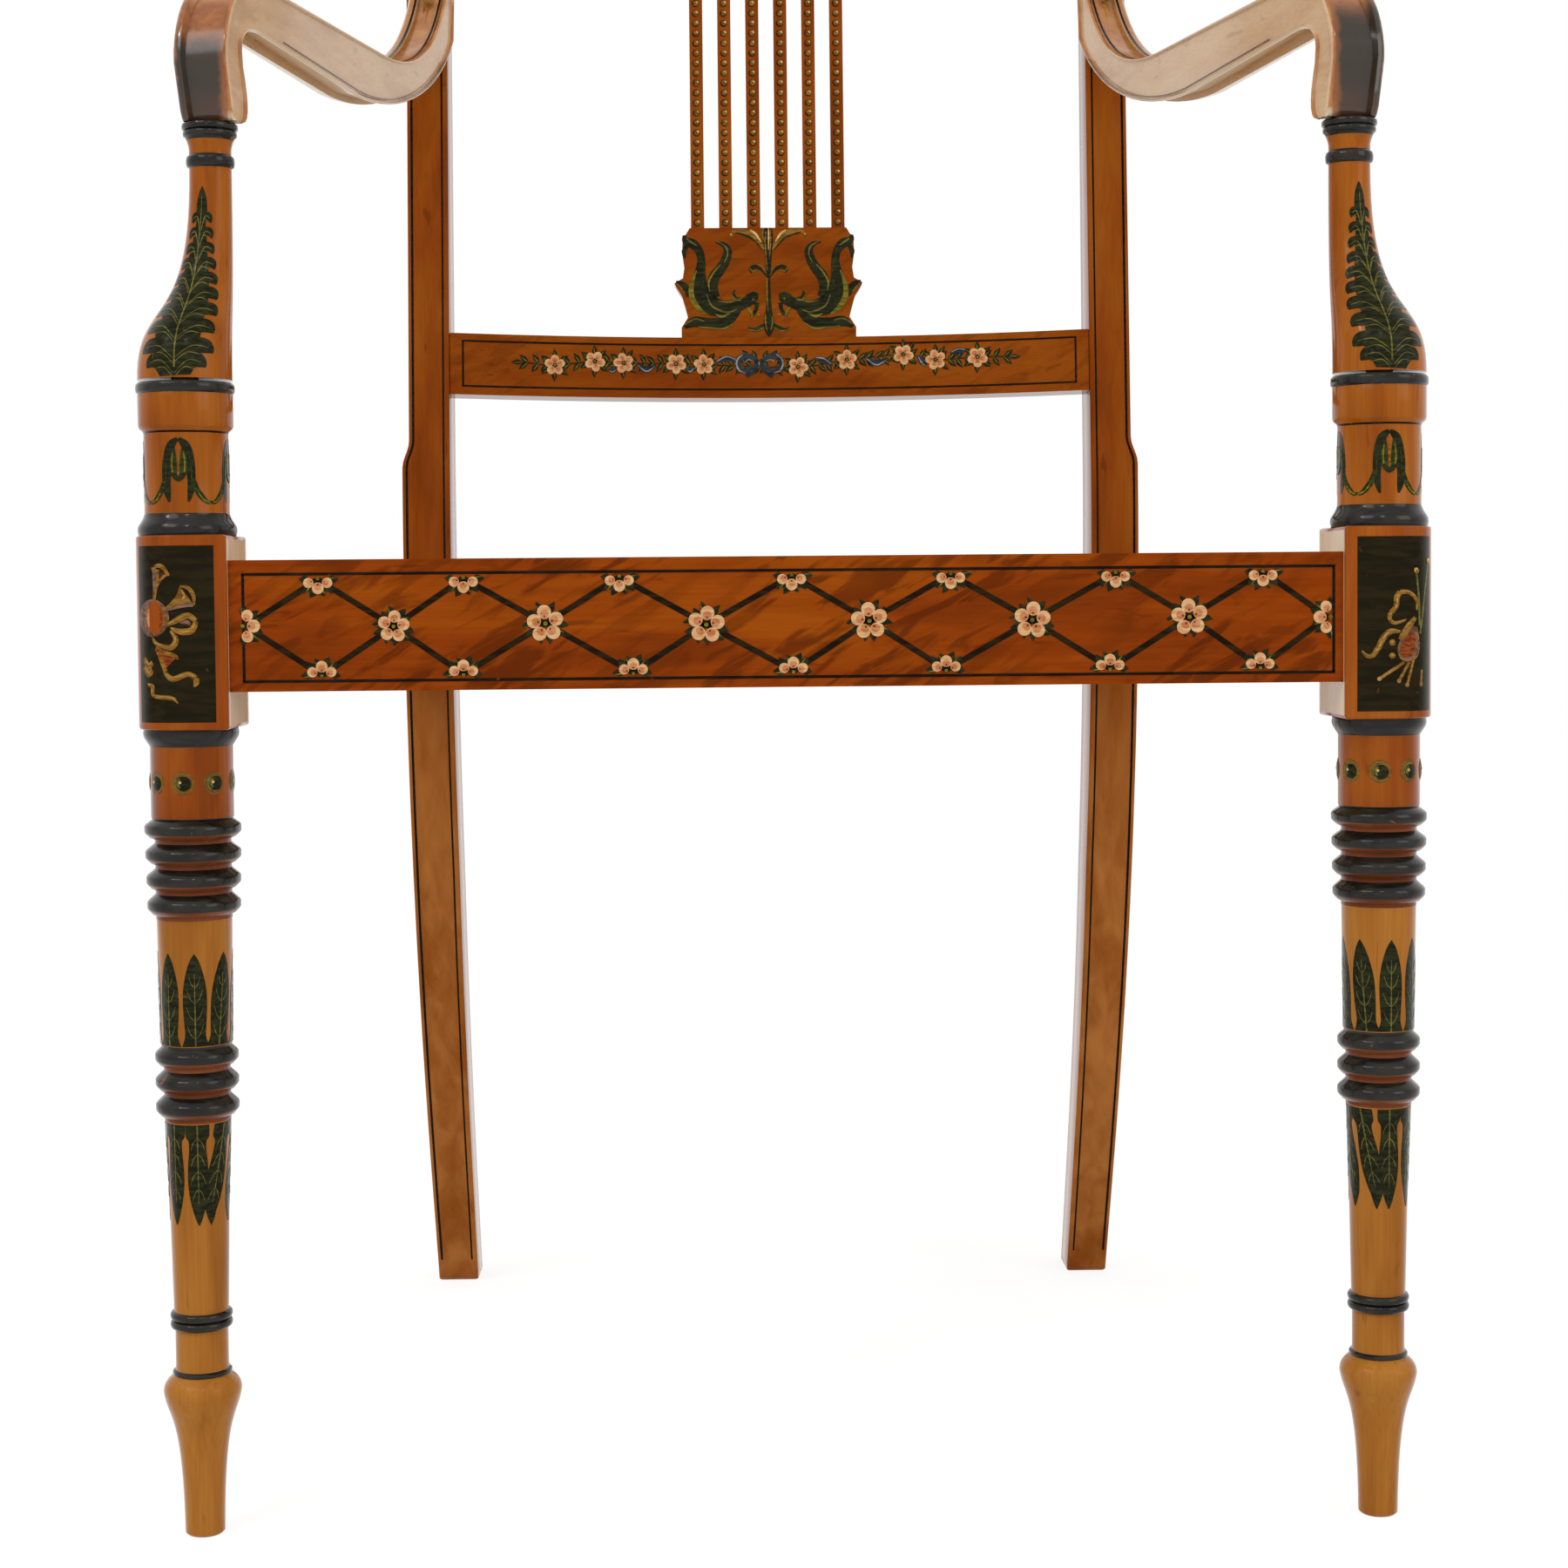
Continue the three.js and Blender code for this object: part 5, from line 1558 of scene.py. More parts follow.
@dataclass
class Arm:
    """Scrolled arm: a knuckle over the support, a level bar and a scroll up the upright."""

    shop: Workshop
    front: float
    side: Side
    post: BackPost
    chin_z: float = 637.9
    top_z: float = 708.0
    front_y: float = 29.5
    front_x: float = 260.6
    back_x: float = 192.5
    nose_r: float = 43.0
    bar_h: float = 29.0
    front_half: float = 12.6
    back_half: float = 11.4
    maker: MeshMaker = field(init=False)

    def rest_y(self, z: float) -> float:
        """Place of the upright's face, less the glue line."""
        return self.post.face_y(z) - 0.3

    def top_line(self) -> list[Point]:
        """Outline of the front and the top, as Y and Z.

        Returns:
            The points.
        """
        nose_z = self.top_z - self.nose_r
        made = [(self.front_y + 2.5, self.chin_z), (self.front_y + 0.8, self.chin_z + 1.6)]
        made += [(self.front_y, lerp(self.chin_z + 5, nose_z, i / 3)) for i in range(3)]
        middle = (self.front_y + self.nose_r, nose_z)
        made += [around(middle, self.nose_r, math.radians(180 - 90 * i / 12)) for i in range(13)]
        start = self.rest_y(self.top_z) - 112
        made += [(lerp(self.front_y + self.nose_r, start, i / 5), self.top_z) for i in range(1, 5)]
        tip_z = self.top_z + 80
        pulls = [(0, 0), (0.54, 0), (0.87, 0.34), (1, 1)]
        made += curve_between((start, self.top_z), (self.rest_y(tip_z) - 3.8, tip_z), pulls, 18)
        made += [(self.rest_y(tip_z + i) - 3.8 + i * 0.6, tip_z + i) for i in (1.7, 3.3, 4.6)]
        return made

    def under_line(self) -> list[Point]:
        """Outline of the rear of the knuckle and the underside, matched to the top line.

        Returns:
            The points.
        """
        bar_z = self.top_z - self.bar_h
        elbow_y, elbow_z = self.front_y + 21, bar_z + 5
        corner = (elbow_y - 2.5, elbow_z - 13)
        bulge = [(0, 0), (1.3, 0.04), (1.35, 0.42), (1, 1)]
        made = curve_between((elbow_y - 10.5, self.chin_z), corner, bulge, 8)
        bend = [(0, 0), (0, 0.65), (0.35, 1), (1, 1)]
        made += curve_between(corner, (elbow_y + 20, elbow_z), bend, 9)[1:]
        start = self.rest_y(bar_z) - 150
        shares = [i / 5 for i in range(1, 5)]
        made += [(lerp(elbow_y + 20, start, t), lerp(elbow_z, bar_z, t)) for t in shares]
        under_z = bar_z + 58
        pulls = [(0, 0), (0.34, 0), (0.8, 0.31), (1, 1)]
        made += curve_between((start, bar_z), (self.rest_y(under_z), under_z), pulls, 14)
        tip = self.top_z + 85
        made += [(self.rest_y(z), z) for z in (lerp(under_z, tip, i / 7) for i in range(1, 8))]
        return made

    def section(self, top: Point, under: Point) -> list[Vector]:
        """One section between a point of the top line and one of the underside.

        Args:
            top: Point of the top line.
            under: Point of the underside.

        Returns:
            The points of the section.
        """
        a, b = Vector(top), Vector(under)
        tall = (a - b).length
        along = (a - b) / tall
        made = []

        def spot(across: float, down: float, outward: bool) -> Vector:
            """Point at a share of the half width and a distance from the top.

            Args:
                across: Distance inside the half width.
                down: Distance from the top.
                outward: Whether it lies on the outer half.

            Returns:
                The point.
            """
            y, z = a - along * down
            middle, half = self.middle_at(y)
            middle -= 3 * max(0.0, (665 - z) / (665 - self.chin_z))
            return Vector((middle + (half - across) * (1 if outward else -1), y, z))

        for outward, corner, from_top in (
            (True, 9.0, False),
            (True, 4.5, True),
            (False, 1.7, True),
            (False, 1.7, False),
        ):
            r = min(corner, tall * 0.45)
            order = range(6) if outward != from_top else range(5, -1, -1)
            for i in order:
                t = math.radians(90 * i / 5)
                down = r * (1 - math.sin(t))
                made.append(spot(r * (1 - math.cos(t)), down if from_top else tall - down, outward))
        return made

    def build(self) -> None:
        """Makes the arm."""
        tops, unders = self.top_line(), self.under_line()
        if len(tops) != len(unders):
            raise ValueError(f"arm lines differ: {len(tops)} and {len(unders)}")
        rows = [self.section(t, u) for t, u in zip(tops, unders)]
        self.maker = MeshMaker(f"arm_rest_{self.side.word}", self.shop, self.front, self.side)
        self.maker.grid(rows, "arm_wood", ring=True, caps=True)
        self.lines()
        self.maker.build("leg_satinwood", [f"arm_{self.side.word}"], 45)

    def middle_at(self, y: float) -> tuple[float, float]:
        """Middle and half width of the arm at a distance from the front."""
        share = (y - self.front_y) / (HINGE_Y - self.front_y)
        return lerp(self.front_x, self.back_x, share), lerp(self.front_half, self.back_half, share)

    def lines(self) -> None:
        """Paints dark lines along the top and the inner side, and a gold spray on the scroll."""
        tops = self.top_line()
        runs = [0.0]
        for a, b in zip(tops, tops[1:]):
            runs.append(runs[-1] + math.dist(a, b))

        def top_face(u: float, run: float, lift: float) -> Vector:
            """Point on the top, by its place across and its way along the outline.

            Args:
                u: Place across.
                run: Way along the outline.
                lift: Height above the surface.

            Returns:
                The point.
            """
            held = min(max(run, 0.0), runs[-1] - 0.01)
            i = max(k for k, value in enumerate(runs) if value <= held)
            a, b = Vector(tops[i]), Vector(tops[i + 1])
            y, z = a.lerp(b, (held - runs[i]) / (runs[i + 1] - runs[i]))
            along = (b - a).normalized()
            return Vector((self.middle_at(y)[0] + u, y - along.y * lift, z + along.x * lift))

        brush = Brush(self.maker, top_face)
        stops = [(y, run) for run, (y, z) in zip(runs, tops) if y > 88 and z < self.top_z + 78]
        for edge, shift in ((1, -5.4), (-1, 3.9)):
            line = [(edge * self.middle_at(y)[1] + shift, run, 0.55) for y, run in stops]
            brush.stroke(line, "line_black", 0, 1)
        spray = [run for run, (_, z) in zip(runs, tops) if z > self.top_z + 44][0]
        for turn, length in ((90, 8.5), (62, 6.5), (118, 6.5), (36, 4.6), (144, 4.6)):
            brush.blade((0.0, spray), turn, length, 0.75, "old_gold", 0)
        brush.stroke([(0, spray - 8, 0.2), (0.3, spray - 4, 0.45), (0, spray, 0.7)], "old_gold")

        def inner_face(u: float, z: float, lift: float) -> Vector:
            """Point on the inner side; u runs forward."""
            middle, half = self.middle_at(-u)
            return Vector((middle - half - lift, -u, z))

        side = Brush(self.maker, inner_face)
        low = [(y, z) for y, z in self.under_line() if y > 72 and z < self.top_z + 20]
        side.stroke([(-y, z + 2.6, 0.4) for y, z in low], "mauve_brown", 0, 1)


class FrameWood:
    """CAD nodes that keep their shape and take a finish, smooth faces and softened edges."""

    FINISHES = {
        "front_rail": "rail_wood",
        "back_rail": "rail_wood",
        "cross_rail": "cross_wood",
        "crest_rail": "cross_wood",
        "lyre_plinth": "cross_wood",
        "lyre_plate": "cross_wood",
        "lyre_string": "upright_wood",
        "side_rail": "side_wood",
        "arm_plug": "upright_wood",
        "corner_brace": "inner_beech",
        "support_dowel": "inner_beech",
        "brace_screw": "screw_steel",
        "arm_screw": "screw_steel",
        "cane_seat": "cane_skin",
    }
    SOFTENED = ("front_rail", "back_rail", "side_rail", "cross_rail", "crest_rail")
    SOFTENED += ("lyre_plinth", "lyre_plate")

    def __init__(self, shop: Workshop, nodes: dict[str, bpy.types.Object]) -> None:
        """Keeps the finishes and the CAD nodes."""
        self.shop = shop
        self.nodes = nodes

    def dress(self) -> None:
        """Gives every node that has a finish its material."""
        for name, node in self.nodes.items():
            found = [f for start, f in self.FINISHES.items() if name.startswith(start)]
            if not found:
                continue
            node.data.materials.clear()
            node.data.materials.append(self.shop[found[0]])
            node.data.shade_smooth()
            node.data.set_sharp_from_angle(angle=math.radians(32))
            if name.startswith(self.SOFTENED):
                bevel = node.modifiers.new("soft_edges", "BEVEL")
                bevel.width, bevel.segments = 0.7 * MM, 2
                bevel.limit_method, bevel.angle_limit = "ANGLE", math.radians(50)
                bevel.harden_normals = True
            log.info("%s: %s", name, found[0])


# Right half of a ribbon bow
BOW: Marks = (
    ("ribbon_blue", 1.6, (0.6, 0.4, 0.8), (4.4, 3.6, 1.5), (9.2, 4.4, 1.7), (12.2, 1.2, 1.5),
     (11.4, -3.2, 1.4), (7.6, -4.6, 1.4), (4.2, -2.2, 1.2), (0.8, -0.4, 0.8)),
    ("ribbon_light", 2.8, (9.4, 5.4, 0.15), (12.6, 2.6, 0.42), (13.2, -1, 0.5),
     (11.4, -4.3, 0.42), (8, -5.4, 0.15)),
    ("ribbon_light", 2.8, (3.2, 1.4, 0.12), (6.4, 2.2, 0.3), (8.6, 0.6, 0.15)),
    ("ribbon_blue", 1.6, (1, -1, 0.6), (3.6, -5, 1.1), (8.4, -7, 0.3)),
)

# Scaly sea beast to the right of its stem, with what grows round it
BEAST: Marks = (
    ("leaf_dark", 0, (6, 97.4, 1.6), (8.6, 97.2, 3.3), (12.4, 95, 3.3), (18, 92.8, 3.7),
     (25.6, 91.2, 4.6), (33.2, 93, 5.8), (38.8, 99.8, 5.4), (39.6, 109.1, 3.7), (38.6, 117.6, 2.5),
     (39.6, 124, 2.4), (43.1, 128.4, 2.9), (47.4, 130.4, 2.2), (48.4, 133.6, 0.8)),
    ("leaf_dark", 0.4, (46.4, 128, 1.2), (48.4, 124.2, 1.5), (48, 120.2, 0.4)),
    ("vein_olive", 1.6, (47, 131.6, 0.3), (44.4, 129.6, 0.6), (41.2, 127.6, 0.3)),
    ("leaf_light", 1.2, (41.4, 113, 0.3), (44.2, 105, 1.3), (44.2, 98, 1.6), (40.6, 91.4, 1.4),
     (35.4, 87.6, 0.3)),
    ("leaf_green", 1.4, (39.6, 122, 0.2), (37, 115.4, 0.5), (37.2, 108.6, 0.4), (38.2, 102, 0.2)),
    ("vein_olive", 1.4, (35.6, 99, 0.2), (32.6, 92.4, 0.5), (24.4, 88.8, 0.5), (18.4, 90.6, 0.2)),
    ("leaf_light", 1.6, (31, 88, 0.2), (27, 86.3, 0.8), (22.4, 88.2, 0.2)),
    ("vein_olive", 1.4, (29, 95.4, 0.2), (22.4, 94.8, 0.4), (15, 97.2, 0.2)),
    ("leaf_dark", 0.6, (6.8, 94.4, 1.3), (7.4, 90.2, 1.1), (9.9, 86.6, 0.9), (10.8, 85.9, 0.3)),
    ("leaf_light", 1.6, (12.4, 91.6, 0.3), (10.6, 89.6, 0.7), (9.6, 87, 0.6), (10.4, 85.6, 0.3)),
    ("old_gold", 1, (5.9, 87.4, 0.9, 0.2)),
    ("vein_olive", 1.6, (8.8, 96.4, 0.8, 0.2)),
    ("leaf_dark", 4, (8.6, 96.5, 0.4, 0)),
    ("leaf_green", 0.6, (15.2, 96.8, 0.5), (19, 97, 1.2), (20.2, 99.6, 0.9), (19.4, 101.8, 0.2)),
    ("leaf_light", 1.6, (16, 95.8, 0.2), (19.2, 95.9, 0.4), (20.9, 98.8, 0.2)),
    ("leaf_green", 1.4, (5.6, 99.2, 0.3), (9, 100.4, 0.4), (13.2, 98.8, 0.2)),
    ("leaf_dark", 0, (29.8, 97.6, 2), (32.2, 103.4, 3.1), (31, 109.4, 3.3), (27.4, 114.2, 3.1),
     (24.4, 119.4, 2.8), (23.4, 124.8, 2.4), (26, 128.2, 1.5), (30.4, 129.4, 0.3)),
    ("leaf_light", 1.4, (33.8, 101, 0.2), (34.4, 106.4, 0.6), (31.4, 112, 0.5), (27.6, 116.4, 0.2)),
    ("vein_olive", 1.6, (25.4, 117.6, 0.2), (23.4, 122.4, 0.4), (24.6, 127, 0.5),
     (29.6, 129.9, 0.15)),
    ("leaf_dark", 0.5, (48.4, 80.2, 1), (42.8, 83.4, 3.1), (35.4, 82.6, 3.1), (28.2, 82.6, 3.4),
     (22.6, 85.4, 3.3), (17.6, 90.2, 2), (15, 92.6, 0.4)),
    ("vein_olive", 1.8, (48.6, 81.6, 0.2), (42.8, 85, 0.5), (37.2, 83.8, 0.2)),
    ("leaf_light", 1.8, (41, 80.6, 0.2), (33.6, 79.8, 0.5), (26, 79.4, 0.5), (20.4, 82.6, 0.2)),
    ("leaf_dark", 0.4, (46.6, 97.8, 0.3), (47.6, 103, 2.1), (50.8, 105.8, 1.4), (53.2, 106.9, 0.4)),
    ("old_gold", 1.4, (48.4, 100.4, 0.2), (50.8, 103.6, 0.4), (53.4, 105.9, 0.3)),
    ("old_gold", 0.6, (2.2, 124.4, 0.4), (6.2, 130.6, 2), (11.2, 134.6, 1.9), (16.8, 136, 0.9),
     (20.8, 135.2, 0.8)),
    ("leaf_green", 1.6, (3, 124.6, 0.2), (8, 130.4, 0.5), (12.6, 133.2, 0.6), (18.6, 134.9, 0.3)),
    ("pale_gold", 1.6, (4.2, 129.6, 0.3), (7.2, 134.2, 0.7), (10.4, 136.4, 0.4)),
    ("old_gold", 0.8, (21.2, 133.8, 1.25, 0.2)),
    ("pale_gold", 4, (21.3, 133.9, 0.5, 0)),
    ("leaf_dark", 0.6, (1.2, 109.8, 0.5), (3.8, 113.6, 1.1), (7.2, 115.2, 1.3), (10.2, 113.9, 1.1),
     (9.6, 111.6, 0.5)),
    ("old_gold", 1.6, (1, 110.4, 0.2), (3.6, 115, 0.4), (6.4, 116.4, 0.3)),
    ("leaf_light", 1.6, (6.6, 113, 0.15), (9.2, 112.4, 0.35), (10.8, 114.4, 0.2)),
    ("leaf_green", 0.6, (1.8, 81.8, 1.2), (5.2, 79.6, 1.6), (9.2, 78.6, 1.2), (11.8, 80.2, 0.3)),
    ("old_gold", 1.6, (3, 79.8, 0.2), (7, 77.9, 0.4), (11.4, 78.9, 0.3)),
)


@dataclass
class FramePainting:
    """Painted ornament on the rails and on the plates and strings of the lyre."""

    shop: Workshop
    front: float
    half_bow: float = 180.7
    bow: float = 22.0
    border: float = 173.5
    crest_low: float = 345.8

    def lean(self, x: float, y: float, z: float) -> Vector:
        """Point given in the leaning frame of the back.

        Args:
            x: Place across.
            y: Depth behind the hinge line.
            z: Height above it.

        Returns:
            The point on the chair.
        """
        a = math.radians(BACK_LEAN)
        back = HINGE_Y + y * math.cos(a) + z * math.sin(a)
        return Vector((x, back, HINGE_Z - y * math.sin(a) + z * math.cos(a)))

    def bowed(self, setback: float) -> Surface:
        """Front face of a bowed rail, as flat stretches between twelve even steps.

        Args:
            setback: Depth of its ends.

        Returns:
            The surface.
        """

        def depth(x: float) -> float:
            """Depth of the true curve."""
            return setback + self.bow * (1 - (x / self.half_bow) ** 2)

        def place(x: float, z: float, lift: float) -> Vector:
            """Point on the rail.

            Args:
                x: Place across.
                z: Height.
                lift: Height above the surface.

            Returns:
                The point.
            """
            step = self.half_bow / 6
            low = math.floor(max(-self.half_bow, min(x, self.half_bow - 0.01)) / step) * step
            y = lerp(depth(low), depth(low + step), (x - low) / step)
            return self.lean(x, y - lift, z)

        return place

    def flat(self, y: float) -> Surface:
        """Front face of a flat piece of the back."""
        return lambda x, z, lift: self.lean(x, y - lift, z)

    def maker(self, name: str) -> MeshMaker:
        """Starts one painted piece."""
        return MeshMaker(name, self.shop, self.front)

    def sprig(self, brush: Brush, spot: Point, turn: float, petals: int, size: float) -> None:
        """Paints a trellis flower, whole or half, on its ring of dark leaves.

        Args:
            brush: Brush on the rail.
            spot: Its middle.
            turn: Direction of its middle petal.
            petals: Five for a whole flower, three for a half one.
            size: Radius over its petals.
        """
        whole = petals == 5
        reach, count, pitch, cup = (180, 10, 72, 0.0) if whole else (84, 6, 66, 0.12)
        step = reach * 2 / (count if whole else count - 1)
        for i in range(count):
            a = turn - reach + step * (i + (0.35 if whole else 0))
            foot = around(spot, 3.6, math.radians(a))
            length = size * (0.86 if i % 3 else 0.72)
            side = 1 if i % 2 else -1
            brush.blade(foot, a + side * 9 - 1, length, 1.75, "leaf_dark", 0.8, side * 14)
            if i % 2:
                brush.blade(foot, a + 15, length * 0.84, 0.35, "leaf_light", 1.8, -12)
        brush.blossom(*spot, size, turn, petals, pitch, cup, 0.355)

    def front_rail(self) -> None:
        """Paints the trellis with its flowers on the front rail."""
        maker = self.maker("trellis_painting")
        brush = Brush(maker, lambda x, z, lift: Vector((x, 2.5 - lift, z)))
        brush.frame((-240.3, 387.5), (242.4, 434.7), 0.65, "line_black")
        middle = [(-239.2, 412), (-174.4, 411.3), (-107.6, 412), (-36.6, 411), (35.6, 412)]
        middle += [(107.9, 411.7), (178.0, 412.5), (239.6, 412)]
        top = [-207.4, -143.5, -74.8, 1.3, 71.8, 145.1, 210.8]
        bottom = [-206.2, -143.9, -69, 1.8, 69.6, 142.5, 209.5]
        for i in range(7):
            for knot in ((top[i], 432.2), (bottom[i], 390.0)):
                brush.rule(middle[i], knot, 1.3, "trellis_green", 0.4)
                brush.rule(knot, middle[i + 1], 1.3, "trellis_green", 0.4)
            self.sprig(brush, (top[i], 432.6), 270, 3, 6.6)
            self.sprig(brush, (bottom[i], 389.6), 90, 3, 6.6)
        for i, spot in enumerate(middle[1:-1]):
            self.sprig(brush, spot, 96 if i % 2 else 84, 5, 6.9 if i == 0 else 8.0)
        self.sprig(brush, (-240.6, 412), 0, 3, 7.4)
        self.sprig(brush, (241.0, 412), 180, 3, 7.4)
        maker.build("rail_satinwood")

    def spray(self, brush: Brush, spot: Point, turn: float) -> None:
        """Paints a pointed dark leaf with its lighter vein."""
        brush.blade(spot, turn, 6.4, 1.5, "leaf_dark", 0.4, 10)
        brush.blade(spot, turn + 3, 5.2, 0.3, "leaf_light", 1.2, 8)

    def garland(self, brush: Brush, flowers: Sequence[Point], ends: Point, size: float) -> None:
        """Paints a row of flowers among leaves and ribbons.

        Args:
            brush: Brush on the rail.
            flowers: Middles of the flowers from left to right.
            ends: Left and right ends of the garland.
            size: Radius of a flower over its petals.
        """
        spots = [(ends[0], flowers[0][1] + 1.2), *flowers, (ends[1], flowers[-1][1] - 0.2)]
        brush.stroke([(u, v, 0.4) for u, v in spots], "leaf_dark", 0, 6)
        for i, ((u0, v0), (u1, v1)) in enumerate(zip(spots, spots[1:])):
            count = max(1, int((u1 - u0) / 4.6))
            for k in range(count):
                share = (k + 0.5) / count
                u, v = lerp(u0, u1, share), lerp(v0, v1, share)
                outward = 180 if u < 0 else 0
                slant = 52 if (i + k) % 2 else 38
                self.spray(brush, (u, v), outward + slant)
                self.spray(brush, (u, v), outward - slant - 6)
        self.spray(brush, spots[0], 182)
        self.spray(brush, spots[-1], -2)
        for i, (u, v) in enumerate(flowers):
            for turn in (92, 268, 38 + 9 * (i % 3), 214 - 11 * (i % 3), 146, 322):
                self.spray(brush, around((u, v), 3, math.radians(turn)), turn)
            brush.blossom(u, v, size, 90 + 36 * (i % 2) + 7 * (i % 3), 5, 72, 0, 0.37)

    def streamer(self, brush: Brush, start: Point, end: Point, sag: float) -> None:
        """Paints a short bend of ribbon with its light edge.

        Args:
            brush: Brush on its surface.
            start: Left end.
            end: Right end.
            sag: How far its middle hangs.
        """
        (u0, v0), (u1, v1) = start, end
        middle = ((u0 + u1) / 2, (v0 + v1) / 2 - sag)
        brush.stroke([(u0, v0, 0.5), (*middle, 1.9), (u1, v1, 0.5)], "ribbon_blue", 1.6)
        low = 1.1 if sag > 0 else -1.1
        edge = [(u0 + 0.6, v0 - low * 0.5, 0.15), (middle[0], middle[1] - low, 0.42)]
        brush.stroke([*edge, (u1 - 0.6, v1 - low * 0.5, 0.15)], "ribbon_light", 2.6)

    def bow_knot(self, brush: Brush, u: float, v: float) -> None:
        """Paints a ribbon bow of two loops with hanging ends.

        Args:
            brush: Brush on its surface.
            u: Place across.
            v: Place up.
        """
        for sign in (1, -1):
            brush.ornament(BOW, u, v, sign)
            for across, rise, turn in ((2, 2, 90 - sign * 22), (6, 3, 90 - sign * 40)):
                self.spray(brush, (u + sign * across, v + rise), turn)
            self.spray(brush, (u + sign * 4, v - 3), 270 + sign * 30)
        brush.disc(u, v, 1.5, "ribbon_blue", 3, 0.4)
        glint = [(-0.2, -1.2, 0.15), (-0.5, 0, 0.35), (-0.1, 1.2, 0.15)]
        brush.stroke(moved(glint, u, v), "ribbon_light", 8)

    def cross_rail(self) -> None:
        """Paints the border and the flower garland of the cross rail."""
        maker = self.maker("garland_painting")
        brush = Brush(maker, self.bowed(1.5))
        brush.frame((-self.border, 43.6), (self.border, 69.2), 0.55, "line_black")
        flowers = [(-122.3, 56.7), (-99.7, 59.2), (-83.4, 58.5), (-53.5, 58.3), (-37.6, 57.9)]
        flowers += [(16.4, 56.3), (44.4, 60.1), (76.7, 62.5), (95.0, 59.1), (118.7, 59.9)]
        self.garland(brush, flowers, (-140.5, 136.5), 5.7)
        for start, end, sag in (
            ((-31, 59), (-18, 59.6), -2.2),
            ((-76, 58), (-65, 57.4), 2.8),
            ((-92, 54.6), (-87.6, 54.8), 0.4),
            ((-47.6, 55.2), (-43, 56.2), 0.8),
            ((26, 61), (36, 57.4), -0.8),
            ((54.6, 61.6), (68, 60.6), 3.2),
            ((84.6, 61.4), (90, 56.4), 0.6),
            ((103.4, 62.6), (112.4, 63.8), -0.6),
        ):
            self.streamer(brush, start, end, sag)
        self.bow_knot(brush, -5.6, 58.5)
        maker.build("rail_satinwood")

    def crest_rail(self) -> None:
        """Paints a border and a garland on the crest rail."""
        maker = self.maker("crest_painting")
        brush = Brush(maker, self.bowed(1.0))

        def top(x: float) -> float:
            """Top line of the border."""
            return 341 + 46 + 7 * (1 + math.cos(math.pi * x / self.half_bow)) - 4.8

        def middle(x: float) -> float:
            """Height halfway up the border."""
            return (self.crest_low + top(x)) / 2

        low, side = self.crest_low, self.border
        places = [lerp(-side, side, i / 36) for i in range(37)]
        brush.stroke([(x, top(x), 0.6) for x in places], "line_black", 0, 1)
        brush.rule((-side - 0.6, low), (side + 0.6, low), 0.6, "line_black")
        for x in (-side, side):
            brush.rule((x, low), (x, top(x)), 0.6, "line_black")
        stops = (-138, -116, -92, -72, -46, -26, 26, 46, 72, 92, 116, 138)
        flowers = [(x, middle(x) + (1.6 if x % 4 else -1.6)) for x in stops]
        self.garland(brush, flowers, (-158, 158), 6.6)
        for x in (-104, -59, 36, 82):
            self.streamer(brush, (x - 5, middle(x) + 1), (x + 5, middle(x)), 2.8)
        self.bow_knot(brush, 0, 369.6)
        maker.build("rail_satinwood")

    def beasts(self, brush: Brush) -> None:
        """Paints a stem between two scaly sea beasts that face it.

        Args:
            brush: Brush on its surface.
        """
        for sign in (-1, 1):
            brush.ornament(BEAST, sign=sign)
        stem = [(74.8, 0.4), (77.4, 2.2), (81.6, 3.2), (85.6, 2.6), (90.3, 1.8), (97, 1.3)]
        stem += [(105.9, 1), (111.6, 1.4), (117.7, 1.7), (124, 2.3), (130.3, 2.9)]
        stem += [(135, 2.6), (137.4, 2)]
        brush.stroke([(0, v, half) for v, half in stem], "leaf_dark", 0.8)
        for u, low, high, finish in (
            (-1.6, 112.6, 135.6, "old_gold"),
            (1.4, 119.6, 136.6, "old_gold"),
            (-3.1, 127.6, 137.2, "leaf_light"),
            (0.3, 124.6, 137.2, "pale_gold"),
            (-0.9, 88.6, 108.6, "leaf_light"),
            (0.9, 79.6, 96.6, "leaf_green"),
            (-2, 77.2, 87.6, "old_gold"),
            (2, 77.2, 86.6, "vein_olive"),
        ):
            blade = [(u * 0.4, low, 0.12), (u, lerp(low, high, 0.55), 0.45), (u * 0.9, high, 0.3)]
            brush.stroke(blade, finish, 2.2)

    def plates(self) -> None:
        """Paints the two plates of the lyre."""
        maker = self.maker("plinth_painting")
        self.beasts(Brush(maker, self.flat(27.0)))
        maker.build("rail_satinwood")
        maker = self.maker("plate_painting")
        brush = Brush(maker, self.flat(27.0))
        stem = [(0, 298.4, 0.4), (0, 306, 2.4), (0, 316, 3.0), (0, 328, 2.2), (0, 338.6, 0.3)]
        brush.stroke(stem, "leaf_dark", 0.6)
        for u, width in ((-1.3, 0.5), (1.3, 0.5), (0, 0.4)):
            line = [(u * 0.3, 301, 0.15), (u, 316, width), (u * 0.4, 333, 0.15)]
            brush.stroke(line, "old_gold", 2)
        for sign in (1, -1):
            for lift, reach in ((0, 1.0), (13, 0.76)):
                frond = [(1.6, 303, 0.5), (9 * reach, 308, 2.3), (20 * reach, 306, 2.1)]
                frond += [(30 * reach, 311, 1.9), (32 * reach, 318, 1.4), (26 * reach, 320, 0.5)]
                brush.stroke(moved(frond, 0, lift, sign), "leaf_dark", 0.4)
                vein = [(3, 304.6, 0.15), (10 * reach, 309.4, 0.6), (20 * reach, 307.6, 0.6)]
                vein += [(29 * reach, 312.6, 0.3)]
                brush.stroke(moved(vein, 0, lift, sign), "leaf_light", 1.6)
        maker.build("rail_satinwood")

